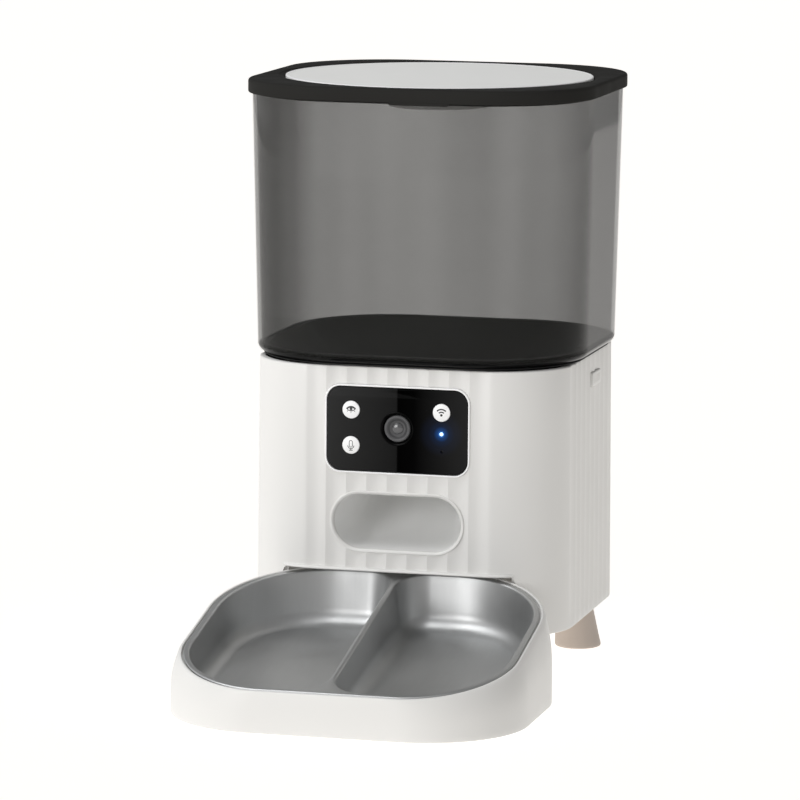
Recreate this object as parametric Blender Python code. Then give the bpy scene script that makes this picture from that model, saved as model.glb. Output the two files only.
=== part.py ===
"""Automatic pet feeder: fluted body, smoky hopper, camera panel, chute and tray with a steel bowl.

All sizes are in millimetres and are scaled to metres when a mesh is made.
The drawing frame has its origin on the floor under the body's axis, +Z up, the front towards -Y.
ROOT_Y moves that frame so that the whole feeder is centred on the world origin.
"""

import math

import bmesh
import bpy
from mathutils import Vector

MM = 0.001
GAP = 0.3                # clearance between neighbouring pieces
ARC_STEPS = 6            # segments in a rounded corner
ROUND_STEPS = 24         # segments in a full turn

# ---- driving dimensions -------------------------------------------------

BODY_Z = (29.0, 183.9)
BODY_HALF_LOW = (95.1, 93.7)
BODY_HALF_TOP = (94.2, 92.8)
BODY_CORNER = 46.0
BODY_WALL = 2.6
FLUTES = 9
FLUTE_PITCH = 12.2
FLUTE_DEPTH = 1.0
FLUTE_STEPS = 3
CORNER_STEPS = 7

LID_HALF = (103.4, 103.0)
LID_CORNER = 64.0
LID_Z = (338.0, 346.0)
LID_SKIRT = 1.4
LID_PLATE_Z = 340.6
LID_TAB_X = (-4.0, 31.0)
LID_TAB_LOW_Z = 336.6
DISC_RADIUS = 90.8
DISC_DEPTH = 2.7
SEAL_HALF = (97.9, 96.4)
SEAL_CORNER = 60.0
SEAL_LOW_Z = 336.6
SEAL_WIDTH = 3.4
HOLDER_RADIUS = 29.0
CAP_Z = (327.8, 331.4)
CAP_HOLES, CAP_HOLE_RADIUS, CAP_HOLES_AT = 6, 3.2, 17.0

HOPPER_Z = (185.6, 340.2)
HOPPER_HALF_LOW = (98.8, 96.2)
HOPPER_HALF_TOP = (101.5, 100.0)
HOPPER_CORNER = 63.5
HOPPER_WALL = 2.2
HOPPER_LIP = 92.2        # half-width of the opening in the hopper's bottom
GASKET_Z = (184.2, 185.3)
GASKET_INSET = (3.4, 6.4)

NECK_RADIUS = 50.0
NECK_Z = 157.6
FUNNEL_TOP_Z = 190.2
FUNNEL_MOUTH = 7.8       # how far the slope starts inside the hopper's outside
FUNNEL_WALL = 1.8

HOUSING_Z = (127.4, 156.9)
HOUSING_RADIUS = 54.0
HOUSING_WALL = 2.4
OUTLET_HALF_X = 21.0
OUTLET_Y = (-46.5, -21.5)
ROTOR_RADIUS = 50.4
ROTOR_Z = (130.2, 154.6)
ROTOR_VANES = 6
VANE_HALF = 1.1
HUB_RADIUS = 9.0
STIRRER_Z = (155.0, 173.0)
SHAFT_RADIUS = 3.7
SHAFT_TOP_Z = 166.0

DECK_Z = (124.0, 127.0)
DECK_HALF_X = 89.0
DECK_Y = (-66.0, 88.0)
TAB_X = (75.0, 77.5)     # the deck's tabs that carry the release springs
TAB_TOP_Z = 175.0
CASE_Z = (82.0, 99.0)
CASE_X = (-22.0, 56.0)
CASE_HALF_Y = 21.6
COVER_Z = (99.3, 101.3)
COVER_POSTS = ((-17.0, 17.0), (51.0, 16.0), (51.0, -16.0))
CASE_WALL = 1.6

GEAR_MODULE = 1.0
OUTPUT_TEETH = 36
IDLER_PINION_TEETH = 12
IDLER_TEETH = 30
PINION_TEETH = 10
UPPER_MESH_Z = (92.6, 97.6)
LOWER_MESH_Z = (86.0, 90.6)
IDLER_X = GEAR_MODULE * (OUTPUT_TEETH + IDLER_PINION_TEETH) / 2
MOTOR_X = IDLER_X + GEAR_MODULE * (IDLER_TEETH + PINION_TEETH) / 2
MOTOR_RADIUS = 12.0
MOTOR_Z = (52.0, 81.6)

PANEL_HALF = (41.8, 24.5)
PANEL_CORNER = 8.0
PANEL_Z = 147.6
PANEL_FRONT = -93.7
PANEL_THICK = 2.0
PANEL_BOARD_Y = (-86.2, -84.6)
CAMERA_BACK_Y = -76.0
BEZEL_IN, BEZEL_OUT = 0.4, 1.4
LENS_Z = 148.6
LENS_RADIUS = 7.7
LENS_RING_RADIUS = 9.8
ICON_RADIUS = 5.15
ICONS = {"eye_button": (-27.5, 158.7), "microphone_button": (-27.5, 138.0), "wifi_button": (26.4, 159.2)}
LED_AT = (26.4, 146.7)
MIC_AT = (26.7, 136.5)

CHUTE_HALF = (38.8, 16.8)
CHUTE_Z = 93.3
CHUTE_WALL = 1.8
CHUTE_END_Y = -90.6
CHUTE_TOP = (24.0, 14.0)
CHUTE_TOP_AT = (-35.0, 126.8)

BAY_HALF_X = 70.3
BAY_TOP_Z = 65.5
BAY_BACK_Y = -72.0
BAY_WALL = 2.0

RELEASE_Y = 11.0
RELEASE_Z = 168.2
RELEASE_HALF = (11.0, 4.2)
RELEASE_FACE_X = 94.9
RELEASE_FLANGE = 1.6     # width of the flange behind the wall
RELEASE_FLANGE_X = (88.6, 90.8)

TRAY_X = 103.0
TRAY_Y = (-252.6, -84.0)
TRAY_CORNERS = (60.0, 58.0, 58.0, 60.0)
TRAY_FLOOR = 2.2
RIM_X = 98.0
RIM_Y = (-252.0, -79.5)
RIM_CORNERS = (60.0, 65.0, 65.0, 60.0)
RIM_REAR_Z = 64.0
RIM_SLOPE = 0.232

BOWL_INSET = 2.2         # from the tray rim's outside to the bowl's flange
POCKET_INSET = 1.2       # from the tray rim's outside to the pocket that holds the bowl
FLANGE_WIDTH = 3.6
FLANGE_THICK = 1.5
SHEET = 0.9
BOWL_FLOOR_Z = 4.6       # cavity floor at the front
BOWL_FLOOR_SLOPE = 0.165
DIVIDER_HALF = 1.6
DIVIDER_CORNER = 18.0

FOOT_RADIUS = (13.9, 10.6)
FOOT_SPLAY = 3.0
FOOT_TOP_Z = 30.6
FEET = {"rear": (78.1, 42.0), "front": (66.0, -60.0)}

PLATE_Z = (31.0, 33.4)
SOCKET_AT = (40.0, 50.0)
SOCKET_RADIUS = 5.2
SPEAKER_AT = (-28.0, 100.0)
SPEAKER_SLOTS = 5
SLOT_PITCH = 5.0
BOARD_X = (82.0, 83.6)

BATTERY_HALF_X = 54.0
BATTERY_Y = (13.2, 81.0)
BATTERY_Z = (33.8, 70.0)
BATTERY_WALL = 2.0
CELLS_X = (-34.5, 0.0, 34.5)
CELL_Z = 51.0
DOOR_HALF_X = 50.0
DOOR_Y = (16.6, 77.4)
DOOR_HINGE_Y = 76.4
SCREW_AT = (88.6, 30.0)

ROOT_Y = -(TRAY_Y[0] + LID_HALF[1]) / 2

WHITE = ((0.90, 0.89, 0.87), 0.45, 0.0)
SMOKE = ((0.10, 0.10, 0.11), 0.10, 0.0)
GLOSS_BLACK = ((0.01, 0.01, 0.012), 0.08, 0.0)
DARK = ((0.05, 0.05, 0.055), 0.5, 0.0)
GREY = ((0.45, 0.44, 0.43), 0.5, 0.0)
TAUPE = ((0.43, 0.38, 0.35), 0.6, 0.0)
RUBBER = ((0.03, 0.03, 0.03), 0.8, 0.0)
STEEL = ((0.62, 0.62, 0.62), 0.25, 1.0)
ACETAL = ((0.80, 0.79, 0.74), 0.4, 0.0)
BOARD = ((0.02, 0.16, 0.06), 0.4, 0.0)
GLASS = ((0.02, 0.02, 0.03), 0.03, 0.0)
BLUE = ((0.25, 0.45, 1.0), 0.3, 0.0)


# ---- meshes from rings --------------------------------------------------

def outline(x_range, y_range, corners, steps=ARC_STEPS):
    """Counter-clockwise rounded rectangle; corners run front right, rear right, rear left, front left."""
    (x0, x1), (y0, y1) = x_range, y_range
    places = ((x1, y0, -1, 1), (x1, y1, -1, -1), (x0, y1, 1, -1), (x0, y0, 1, 1))
    points = []
    for quarter, ((x, y, sx, sy), radius) in enumerate(zip(places, corners)):
        for step in range(steps + 1):
            angle = math.radians(90 * (quarter - 1 + step / steps))
            points.append((x + radius * (sx + math.cos(angle)), y + radius * (sy + math.sin(angle))))
    return points


def square(half_x, half_y, corner, steps=ARC_STEPS):
    return outline((-half_x, half_x), (-half_y, half_y), (corner,) * 4, steps)


def disc(radius, steps=ROUND_STEPS):
    return [(radius * math.cos(2 * math.pi * i / steps), radius * math.sin(2 * math.pi * i / steps))
            for i in range(steps)]


def even_disc(radius, steps=ARC_STEPS):
    """A circle with the same number of points as a rounded rectangle, at matching angles."""
    return square(radius, radius, radius, steps)


def level(points, z):
    return [Vector((x, y, z)) for x, y in points]


def upright(points, y, centre_z):
    """The outline stood up to face -Y, at depth y."""
    return [Vector((x, y, centre_z + z)) for x, z in points]


def sideways(points, x, centre_y, centre_z):
    return [Vector((x, centre_y + y, centre_z + z)) for y, z in points]


def loft(name, rings, look, closed=False):
    """A solid skinned over rings of equal length, capped at both ends or joined end to end."""
    mesh = bpy.data.meshes.new(name)
    work = bmesh.new()
    loops = [[work.verts.new(point * MM) for point in ring] for ring in rings]
    pairs = list(zip(loops, loops[1:]))
    if closed:
        pairs.append((loops[-1], loops[0]))
    else:
        work.faces.new(loops[0])
        work.faces.new(loops[-1])
    for low, high in pairs:
        for i in range(len(low)):
            j = (i + 1) % len(low)
            work.faces.new((low[i], low[j], high[j], high[i]))
    bmesh.ops.recalc_face_normals(work, faces=work.faces)
    work.to_mesh(mesh)
    work.free()
    return add_object(name, mesh, look)


def add_object(name, mesh, look):
    colour, roughness, metallic = look
    material = bpy.data.materials.new(name)
    material.use_nodes = True
    shader = material.node_tree.nodes["Principled BSDF"]
    shader.inputs["Base Color"].default_value = (*colour, 1.0)
    shader.inputs["Roughness"].default_value = roughness
    shader.inputs["Metallic"].default_value = metallic
    mesh.materials.append(material)
    mesh.shade_smooth()
    mesh.set_sharp_from_angle(angle=math.radians(35))
    made = bpy.data.objects.new(name, mesh)
    bpy.context.scene.collection.objects.link(made)
    return made


def block(name, x_range, y_range, z_range, look, corner=0.0):
    if corner:
        points = outline(x_range, y_range, (corner,) * 4, 3)
    else:
        points = [(x_range[0], y_range[0]), (x_range[1], y_range[0]),
                  (x_range[1], y_range[1]), (x_range[0], y_range[1])]
    return loft(name, [level(points, z_range[0]), level(points, z_range[1])], look)


def turned(name, profile, look, at=(0, 0, 0), axis="Z", closed=False, steps=ROUND_STEPS):
    """A profile of (radius, height) pairs turned about an axis through a point."""
    place = {"X": lambda u, v, h: Vector((h, u, v)),
             "Y": lambda u, v, h: Vector((u, h, v)),
             "Z": lambda u, v, h: Vector((u, v, h))}[axis]
    rings = [[place(u, v, height) + Vector(at) for u, v in disc(radius, steps)]
             for radius, height in profile]
    return loft(name, rings, look, closed)


def combine(target, tools, operation):
    """Apply one exact Boolean per tool and drop the tools."""
    for tool in tools:
        step = target.modifiers.new("step", "BOOLEAN")
        step.operation = operation
        step.solver = "EXACT"
        step.object = tool
    graph = bpy.context.evaluated_depsgraph_get()
    result = bpy.data.meshes.new_from_object(target.evaluated_get(graph))
    target.modifiers.clear()
    target.data = result
    result.name = target.name
    result.set_sharp_from_angle(angle=math.radians(35))
    for tool in tools:
        bpy.data.objects.remove(tool)
    return target


def cut(target, *tools):
    return combine(target, tools, "DIFFERENCE")


def join(target, *tools):
    return combine(target, tools, "UNION")


def inset(points, distance):
    """Move a convex outline inwards along its corner normals."""
    moved = []
    count = len(points)
    for i, (x, y) in enumerate(points):
        ahead, behind = (i + 1) % count, i - 1
        while math.dist(points[ahead], points[i]) < 1e-6:
            ahead = (ahead + 1) % count
        while math.dist(points[behind], points[i]) < 1e-6:
            behind -= 1
        along = Vector(points[ahead]) - Vector((x, y))
        along = along.normalized() + (Vector((x, y)) - Vector(points[behind])).normalized()
        along.normalize()
        moved.append((x - along.y * distance, y + along.x * distance))
    return moved


def spring(name, start, end, radii, turns, wire, look):
    """A coil of wire along the line from start to end; radii are its first and last radius."""
    steps = turns * 8
    sides = 4
    start, end = Vector(start), Vector(end)
    axis = (end - start).normalized()
    side = axis.orthogonal().normalized()
    other = axis.cross(side)
    rings = []
    for i in range(steps + 1):
        share = i / steps
        angle = 2 * math.pi * turns * share
        out = side * math.cos(angle) + other * math.sin(angle)
        radius = radii[0] + (radii[1] - radii[0]) * share
        centre = start.lerp(end, share) + out * radius
        rings.append([centre + (out * math.cos(2 * math.pi * k / sides)
                                + axis * math.sin(2 * math.pi * k / sides)) * wire
                      for k in range(sides)])
    return loft(name, rings, look)


# ---- body ---------------------------------------------------------------

def side_station(along, run, out, flute):
    """A point on one side of the body, which carries on round the corner, sunk by flute."""
    straight = run - BODY_CORNER
    angle = max(0.0, abs(along) - straight) / BODY_CORNER
    sign = math.copysign(1.0, along)
    x = sign * (min(abs(along), straight) + BODY_CORNER * math.sin(angle))
    y = -(out - BODY_CORNER * (1 - math.cos(angle)))
    return x - sign * math.sin(angle) * flute, y + math.cos(angle) * flute


def body_outline(half, flute_depth):
    """The body's outline: nine shallow scallops on each side and plain round corners."""
    reach = FLUTES * FLUTE_PITCH / 2
    points = []
    for turn in range(4):
        run, out = half if turn % 2 == 0 else half[::-1]
        stations = []
        for i in range(FLUTES * FLUTE_STEPS + 1):
            depth = flute_depth * math.sin(math.pi * (i % FLUTE_STEPS) / FLUTE_STEPS)
            stations.append((-reach + i * FLUTE_PITCH / FLUTE_STEPS, depth))
        corner_end = run - BODY_CORNER + BODY_CORNER * math.pi / 2 - (reach - out + BODY_CORNER)
        for i in range(1, CORNER_STEPS):
            stations.append((reach + (corner_end - reach) * i / CORNER_STEPS, 0.0))
        for along, depth in stations:
            x, y = side_station(along, run, out, depth)
            for _ in range(turn):
                x, y = -y, x
            points.append((x, y))
    return points


def shrink(half, amount):
    return half[0] - amount, half[1] - amount


def body_shell():
    rings = [level(body_outline(BODY_HALF_LOW, FLUTE_DEPTH), BODY_Z[0]),
             level(body_outline(BODY_HALF_TOP, FLUTE_DEPTH), BODY_Z[1]),
             level(body_outline(shrink(BODY_HALF_TOP, BODY_WALL), 0), BODY_Z[1]),
             level(body_outline(shrink(BODY_HALF_LOW, BODY_WALL), 0), BODY_Z[0])]
    shell = loft("body_shell", rings, WHITE, closed=True)
    bosses = [turned("boss", ((4.4, PLATE_Z[1] + 0.5), (4.4, 60)), WHITE, (sx * SCREW_AT[0], sy * SCREW_AT[1], 0),
                     steps=12) for sx in (-1, 1) for sy in (-1, 1)]
    join(shell, *bosses)
    wall = (-98.0, -85.0)
    hole = BEZEL_OUT + GAP
    panel = square(PANEL_HALF[0] + hole, PANEL_HALF[1] + hole, PANEL_CORNER + hole)
    mouth = square(*CHUTE_HALF, CHUTE_HALF[1])
    cutters = [loft("cutter", [upright(panel, y, PANEL_Z) for y in wall], WHITE),
               loft("cutter", [upright(mouth, y, CHUTE_Z) for y in wall], WHITE),
               block("cutter", (-BAY_HALF_X + 0.5, BAY_HALF_X - 0.5), wall, (20, BAY_TOP_Z - 0.5), WHITE)]
    for side in (-1, 1):
        hole = square(RELEASE_HALF[0] + 0.4, RELEASE_HALF[1] + 0.4, 1.6, 3)
        cutters.append(loft("cutter", [sideways(hole, side * x, RELEASE_Y, RELEASE_Z) for x in (85, 99)], WHITE))
        for sy in (-1, 1):
            cutters.append(turned("cutter", ((1.6, 30), (1.6, 50)), WHITE,
                                  (side * SCREW_AT[0], sy * SCREW_AT[1], 0), steps=10))
    rear = (85.0, 98.0)
    cutters.append(peg("cutter", [(SOCKET_RADIUS + 0.4, y) for y in rear], WHITE, *SOCKET_AT, 16))
    for i in range(SPEAKER_SLOTS):
        slot = [(SPEAKER_AT[0] + SLOT_PITCH * (i - SPEAKER_SLOTS // 2) + x, z) for x, z in square(1.1, 13, 1.1, 2)]
        cutters.append(loft("cutter", [upright(slot, y, SPEAKER_AT[1]) for y in rear], WHITE))
    return cut(shell, *cutters)


def base_plate():
    half = shrink(BODY_HALF_LOW, BODY_WALL + 0.5)
    rings = [level(body_outline(half, 0), z) for z in PLATE_Z]
    plate = loft("base_plate", rings, WHITE)
    span = (PLATE_Z[0] - 2, PLATE_Z[1] + 2)
    cutters = [block("cutter", (-BAY_HALF_X - 0.3, BAY_HALF_X + 0.3), (-99, BAY_BACK_Y + 2.6), span, WHITE),
               block("cutter", (-DOOR_HALF_X - 0.6, DOOR_HALF_X + 0.6),
                     (DOOR_Y[0] - 0.5, DOOR_Y[1] + 0.6), span, WHITE)]
    for sx in (-1, 1):
        for sy in (-1, 1):
            cutters.append(turned("cutter", ((3.2, 29), (3.2, 32.2), (1.9, 32.2), (1.9, 36)), WHITE,
                                  (sx * SCREW_AT[0], sy * SCREW_AT[1], 0), steps=12))
    return cut(plate, *cutters)


def base_screws():
    made = []
    profile = ((2.8, 31.0), (2.8, 31.9), (1.3, 31.9), (1.3, 46.0))
    for index, (sx, sy) in enumerate(((1, -1), (1, 1), (-1, 1), (-1, -1)), 1):
        made.append(turned(f"base_screw_{index}", profile, STEEL,
                           (sx * SCREW_AT[0], sy * SCREW_AT[1], 0), steps=12))
    return made


def tray_bay():
    """A box open to the front and below, which the tray's rear edge slides into."""
    low, top = PLATE_Z[1] + 0.4, BAY_TOP_Z + BAY_WALL
    bay = block("tray_bay", (-BAY_HALF_X - BAY_WALL, BAY_HALF_X + BAY_WALL), (-99, BAY_BACK_Y + BAY_WALL),
                (low, top), WHITE)
    inner_wall = body_outline(shrink(BODY_HALF_LOW, BODY_WALL + 0.7), 0)
    room = loft("room", [level(inner_wall, z) for z in (low - 5, top + 5)], WHITE)
    combine(bay, [room], "INTERSECT")
    return cut(bay, block("cutter", (-BAY_HALF_X, BAY_HALF_X), (-99, BAY_BACK_Y), (20, BAY_TOP_Z), WHITE))


def feet():
    made = []
    for row, (x, y) in FEET.items():
        for side, sx in (("right", 1), ("left", -1)):
            profile = ((FOOT_RADIUS[0] - 1.2, 0.0, 0.0), (FOOT_RADIUS[0], 1.4, 0.0),
                       (FOOT_RADIUS[1], FOOT_TOP_Z, 1.0))
            rings = [[Vector((sx * (x - FOOT_SPLAY * lean) + u, y + v, z)) for u, v in disc(radius)]
                     for radius, z, lean in profile]
            made.append(loft(f"foot_{row}_{side}", rings, TAUPE))
    return made


def mid_deck():
    """The plate that carries the rotor housing and gearbox, with a tab behind each release button."""
    edge = outline((-DECK_HALF_X, DECK_HALF_X), DECK_Y, (30, 44, 44, 30))
    plate = loft("mid_deck", [level(edge, z) for z in DECK_Z], WHITE)
    tabs = [block("tab", sorted(side * x for x in TAB_X), (RELEASE_Y - 13, RELEASE_Y + 13),
                  (DECK_Z[1] - 1, TAB_TOP_Z), WHITE) for side in (-1, 1)]
    join(plate, *tabs)
    x, y = CHUTE_TOP[0] + CHUTE_WALL + 2, CHUTE_TOP[1] + CHUTE_WALL + 0.5
    middle = CHUTE_TOP_AT[0]
    return cut(plate, block("cutter", (-x, x), (middle - y - 2, middle + y), (120, 130), WHITE),
               turned("cutter", ((6, 120), (6, 130)), WHITE, steps=16))


# ---- feed train ---------------------------------------------------------

def rotor_housing():
    """A round cup with the outlet in the front of its floor and a shaft hole in the middle."""
    low, top = HOUSING_Z
    inside = HOUSING_RADIUS - HOUSING_WALL
    cup = turned("rotor_housing", ((HOUSING_RADIUS, low), (HOUSING_RADIUS, top), (inside, top), (inside, low + 2)),
                 ACETAL, steps=36)
    outlet = outline((-OUTLET_HALF_X, OUTLET_HALF_X), OUTLET_Y, (12, 5, 5, 12), 3)
    return cut(cup, loft("cutter", [level(outlet, z) for z in (low - 3, low + 5)], WHITE),
               turned("cutter", ((SHAFT_RADIUS + GAP, low - 3), (SHAFT_RADIUS + GAP, low + 5)), WHITE, steps=16))


def rotor():
    """Six flexible vanes on a hub."""
    points = []
    for i in range(ROTOR_VANES):
        angle = 2 * math.pi * i / ROTOR_VANES
        along = Vector((math.cos(angle), math.sin(angle)))
        across = Vector((-along.y, along.x))
        for radius, side in ((HUB_RADIUS, -1), (ROTOR_RADIUS, -1), (ROTOR_RADIUS, 1), (HUB_RADIUS, 1)):
            points.append(tuple(along * radius + across * (side * VANE_HALF)))
        half_step = angle + math.pi / ROTOR_VANES
        points.append(((HUB_RADIUS + 0.4) * math.cos(half_step), (HUB_RADIUS + 0.4) * math.sin(half_step)))
    wheel = loft("rotor", [level(points, z) for z in ROTOR_Z], ACETAL)
    return cut(wheel, turned("cutter", ((SHAFT_RADIUS + GAP, 128), (SHAFT_RADIUS + GAP, 158)), WHITE, steps=16))


def stirrer():
    """A hub with three raised arms that keep the food moving over the rotor."""
    low, top = STIRRER_Z
    hub = turned("stirrer", ((HUB_RADIUS, low), (HUB_RADIUS, low + 5), (6.5, top - 2), (3.5, top)), ACETAL, steps=18)
    arms = []
    for i in range(3):
        angle = math.radians(120 * i + 30)
        along = Vector((math.cos(angle), math.sin(angle), 0))
        across = Vector((-along.y, along.x, 0))
        rings = []
        for reach, height, size in ((3, low + 8, 3.0), (26, low + 8, 2.6), (40, low + 16, 2.0)):
            centre = along * reach + Vector((0, 0, height))
            rings.append([centre + across * (size * math.cos(a)) + Vector((0, 0, size * math.sin(a)))
                          for a in (math.pi * k / 4 for k in range(8))])
        arms.append(loft("arm", rings, ACETAL))
    join(hub, *arms)
    return cut(hub, turned("cutter", ((SHAFT_RADIUS + GAP, low - 5), (SHAFT_RADIUS + GAP, SHAFT_TOP_Z + 0.4)), WHITE,
                           steps=16))


def drive_shaft():
    return turned("drive_shaft", ((SHAFT_RADIUS, CASE_Z[0] + 2.4), (SHAFT_RADIUS, SHAFT_TOP_Z)), STEEL, steps=16)


def gear_points(teeth, phase):
    """Straight-sided teeth; phase is in tooth pitches."""
    pitch = GEAR_MODULE * teeth / 2
    root, tip = pitch - 1.15 * GEAR_MODULE, pitch + 0.85 * GEAR_MODULE
    points = []
    for i in range(teeth):
        centre = 2 * math.pi * (i + phase) / teeth
        for radius, half in ((root, 0.95), (tip, 0.36), (tip, -0.36), (root, -0.95)):
            angle = centre - half * GEAR_MODULE / radius
            points.append((radius * math.cos(angle), radius * math.sin(angle)))
    return points


def gear(name, teeth, phase, z_range, centre_x, look):
    points = [(x + centre_x, y) for x, y in gear_points(teeth, phase)]
    return loft(name, [level(points, z) for z in z_range], look)


def gears():
    output = gear("output_gear", OUTPUT_TEETH, 0.0, UPPER_MESH_Z, 0, ACETAL)
    cut(output, turned("cutter", ((SHAFT_RADIUS + GAP, 80), (SHAFT_RADIUS + GAP, 110)), WHITE, steps=16))
    idler = gear("idler_gear", IDLER_TEETH, 0.5, LOWER_MESH_Z, IDLER_X, ACETAL)
    small = gear("small", IDLER_PINION_TEETH, 0.5, (LOWER_MESH_Z[1] - 1, UPPER_MESH_Z[1]), IDLER_X, ACETAL)
    join(idler, small)
    cut(idler, turned("cutter", ((2.3, 80), (2.3, 110)), WHITE, (IDLER_X, 0, 0), steps=12))
    pinion = gear("motor_pinion", PINION_TEETH, 0.0, LOWER_MESH_Z, MOTOR_X, STEEL)
    stem = turned("stem", ((1.3, 74), (1.3, LOWER_MESH_Z[0] + 1)), STEEL, (MOTOR_X, 0, 0), steps=12)
    return output, idler, join(pinion, stem)


def gearbox_case():
    case = block("gearbox_case", CASE_X, (-CASE_HALF_Y, CASE_HALF_Y), CASE_Z, DARK, corner=4)
    inside = block("cutter", (CASE_X[0] + CASE_WALL, CASE_X[1] - CASE_WALL),
                   (-CASE_HALF_Y + CASE_WALL, CASE_HALF_Y - CASE_WALL), (CASE_Z[0] + 2, CASE_Z[1] + 5), DARK, corner=3)
    return cut(case, inside, turned("cutter", ((2.2, 78), (2.2, 88)), DARK, (MOTOR_X, 0, 0), steps=12))


def gearbox_cover():
    cover = block("gearbox_cover", CASE_X, (-CASE_HALF_Y, CASE_HALF_Y), COVER_Z, DARK, corner=4)
    posts = [turned("post", ((3.4, COVER_Z[0] + 1), (3.4, DECK_Z[0] - 0.4)), DARK, (x, y, 0), steps=12)
             for x, y in COVER_POSTS]
    join(cover, *posts)
    return cut(cover, turned("cutter", ((SHAFT_RADIUS + GAP, 95), (SHAFT_RADIUS + GAP, 105)), DARK, steps=16))


def idler_pin():
    return turned("idler_pin", ((2.0, CASE_Z[0] + 2.4), (2.0, CASE_Z[1] - 0.2)), STEEL, (IDLER_X, 0, 0), steps=12)


def motor():
    low, top = MOTOR_Z
    can = turned("gear_motor", ((4, low - 1.5), (4, low), (MOTOR_RADIUS, low), (MOTOR_RADIUS, top)), STEEL,
                 (MOTOR_X, 0, 0))
    return cut(can, turned("cutter", ((1.7, 73), (1.7, 90)), STEEL, (MOTOR_X, 0, 0), steps=12))


def chute_ring(share, grow):
    """One section of the duct, which turns from facing down at the rotor to facing the front."""
    ends = Vector(CHUTE_TOP_AT), Vector((CHUTE_END_Y, CHUTE_Z))
    bends = Vector((CHUTE_TOP_AT[0], 106.0)), Vector((-64.0, CHUTE_Z + 1.0))
    rest = 1 - share
    centre = (ends[0] * rest ** 3 + bends[0] * 3 * rest ** 2 * share
              + bends[1] * 3 * rest * share ** 2 + ends[1] * share ** 3)
    angle = math.radians(90 * share)
    half_x = CHUTE_TOP[0] + (CHUTE_HALF[0] - CHUTE_TOP[0]) * share
    half_v = CHUTE_TOP[1] + (CHUTE_HALF[1] - CHUTE_TOP[1]) * share
    corner = 6 + (CHUTE_HALF[1] - 6) * share
    points = square(half_x + grow, half_v + grow, corner + grow, 4)
    return [Vector((x, centre.x - v * math.cos(angle), centre.y + v * math.sin(angle))) for x, v in points]


def chute():
    sections = 5
    shares = [i / sections for i in range(sections + 1)]
    rings = [chute_ring(share, CHUTE_WALL) for share in shares]
    rings += [chute_ring(share, 0) for share in reversed(shares)]
    return loft("chute", rings, GREY, closed=True)


# ---- hopper and lid -----------------------------------------------------

def hopper_half(z):
    share = (z - HOPPER_Z[0]) / (HOPPER_Z[1] - HOPPER_Z[0])
    return [low + (top - low) * share for low, top in zip(HOPPER_HALF_LOW, HOPPER_HALF_TOP)]


def hopper_ring(z, amount):
    return level(square(*shrink(hopper_half(z), amount), HOPPER_CORNER - amount, 8), z)


def hopper_wall():
    low, top = HOPPER_Z
    lip = HOPPER_HALF_LOW[0] - HOPPER_LIP
    rings = [hopper_ring(low, 3.2), hopper_ring(low + 1.2, 1.0), hopper_ring(low + 3.6, 0), hopper_ring(top, 0),
             hopper_ring(top, HOPPER_WALL), hopper_ring(low + 4.2, HOPPER_WALL), hopper_ring(low + 2.2, HOPPER_WALL + 1.4),
             hopper_ring(low + 2.0, lip), hopper_ring(low, lip)]
    return loft("hopper_wall", rings, SMOKE, closed=True)


def hopper_seal():
    """A flat gasket between the hopper's bottom edge and the body's top edge."""
    (low, top), (outer, inner) = GASKET_Z, GASKET_INSET
    rings = [hopper_ring(z, amount) for z, amount in ((low, outer), (top, outer), (top, inner), (low, inner))]
    return loft("hopper_seal", rings, RUBBER, closed=True)


def funnel_ring(share, drop):
    """The sloping part's section: the hopper's outline at the top, a circle at the neck."""
    wide = square(*shrink(hopper_half(FUNNEL_TOP_Z), FUNNEL_MOUTH), HOPPER_CORNER - FUNNEL_MOUTH, 8)
    neck = even_disc(NECK_RADIUS, 8)
    z = FUNNEL_TOP_Z + (NECK_Z + 3 - FUNNEL_TOP_Z) * share - drop
    return [Vector((a + (c - a) * share, b + (d - b) * share, z)) for (a, b), (c, d) in zip(wide, neck)]


def hopper_funnel():
    """A flange that rests on the hopper's lip, a slope to the neck and a short round neck."""
    wall = FUNNEL_WALL
    flange = HOPPER_WALL + 1.8
    outer_neck = even_disc(NECK_RADIUS + wall, 8)
    rings = [hopper_ring(FUNNEL_TOP_Z, flange), funnel_ring(0, 0), funnel_ring(0.5, 0), funnel_ring(1, 0),
             level(even_disc(NECK_RADIUS, 8), NECK_Z), level(outer_neck, NECK_Z), level(outer_neck, NECK_Z + 1.4),
             funnel_ring(0.5, wall), funnel_ring(0, wall), hopper_ring(FUNNEL_TOP_Z - wall, flange)]
    return loft("hopper_funnel", rings, DARK, closed=True)


def lid_frame():
    outer = square(*LID_HALF, LID_CORNER, 8)
    skirt = square(*shrink(LID_HALF, LID_SKIRT), LID_CORNER - LID_SKIRT, 8)
    low, top = LID_Z
    rings = [level(outer, low), level(outer, top - 1.2), level(inset(outer, 1.2), top)]
    frame = loft("lid_frame", rings, GLOSS_BLACK)
    under = loft("cutter", [level(skirt, low - 2), level(skirt, LID_PLATE_Z)], GLOSS_BLACK)
    pocket = turned("cutter", ((DISC_RADIUS + 0.5, top - DISC_DEPTH - GAP), (DISC_RADIUS + 0.5, top + 4)),
                    GLOSS_BLACK, steps=64)
    tab = block("tab", LID_TAB_X, (-LID_HALF[1] + 0.3, -LID_HALF[1] + 1.3), (LID_TAB_LOW_Z, low + 1), GLOSS_BLACK)
    cut(frame, under, pocket)
    return join(frame, tab)


def lid_disc():
    top = LID_Z[1]
    return turned("lid_disc", ((DISC_RADIUS, top - DISC_DEPTH), (DISC_RADIUS, top - 0.8), (DISC_RADIUS - 0.8, top)),
                  WHITE, steps=64)


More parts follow.
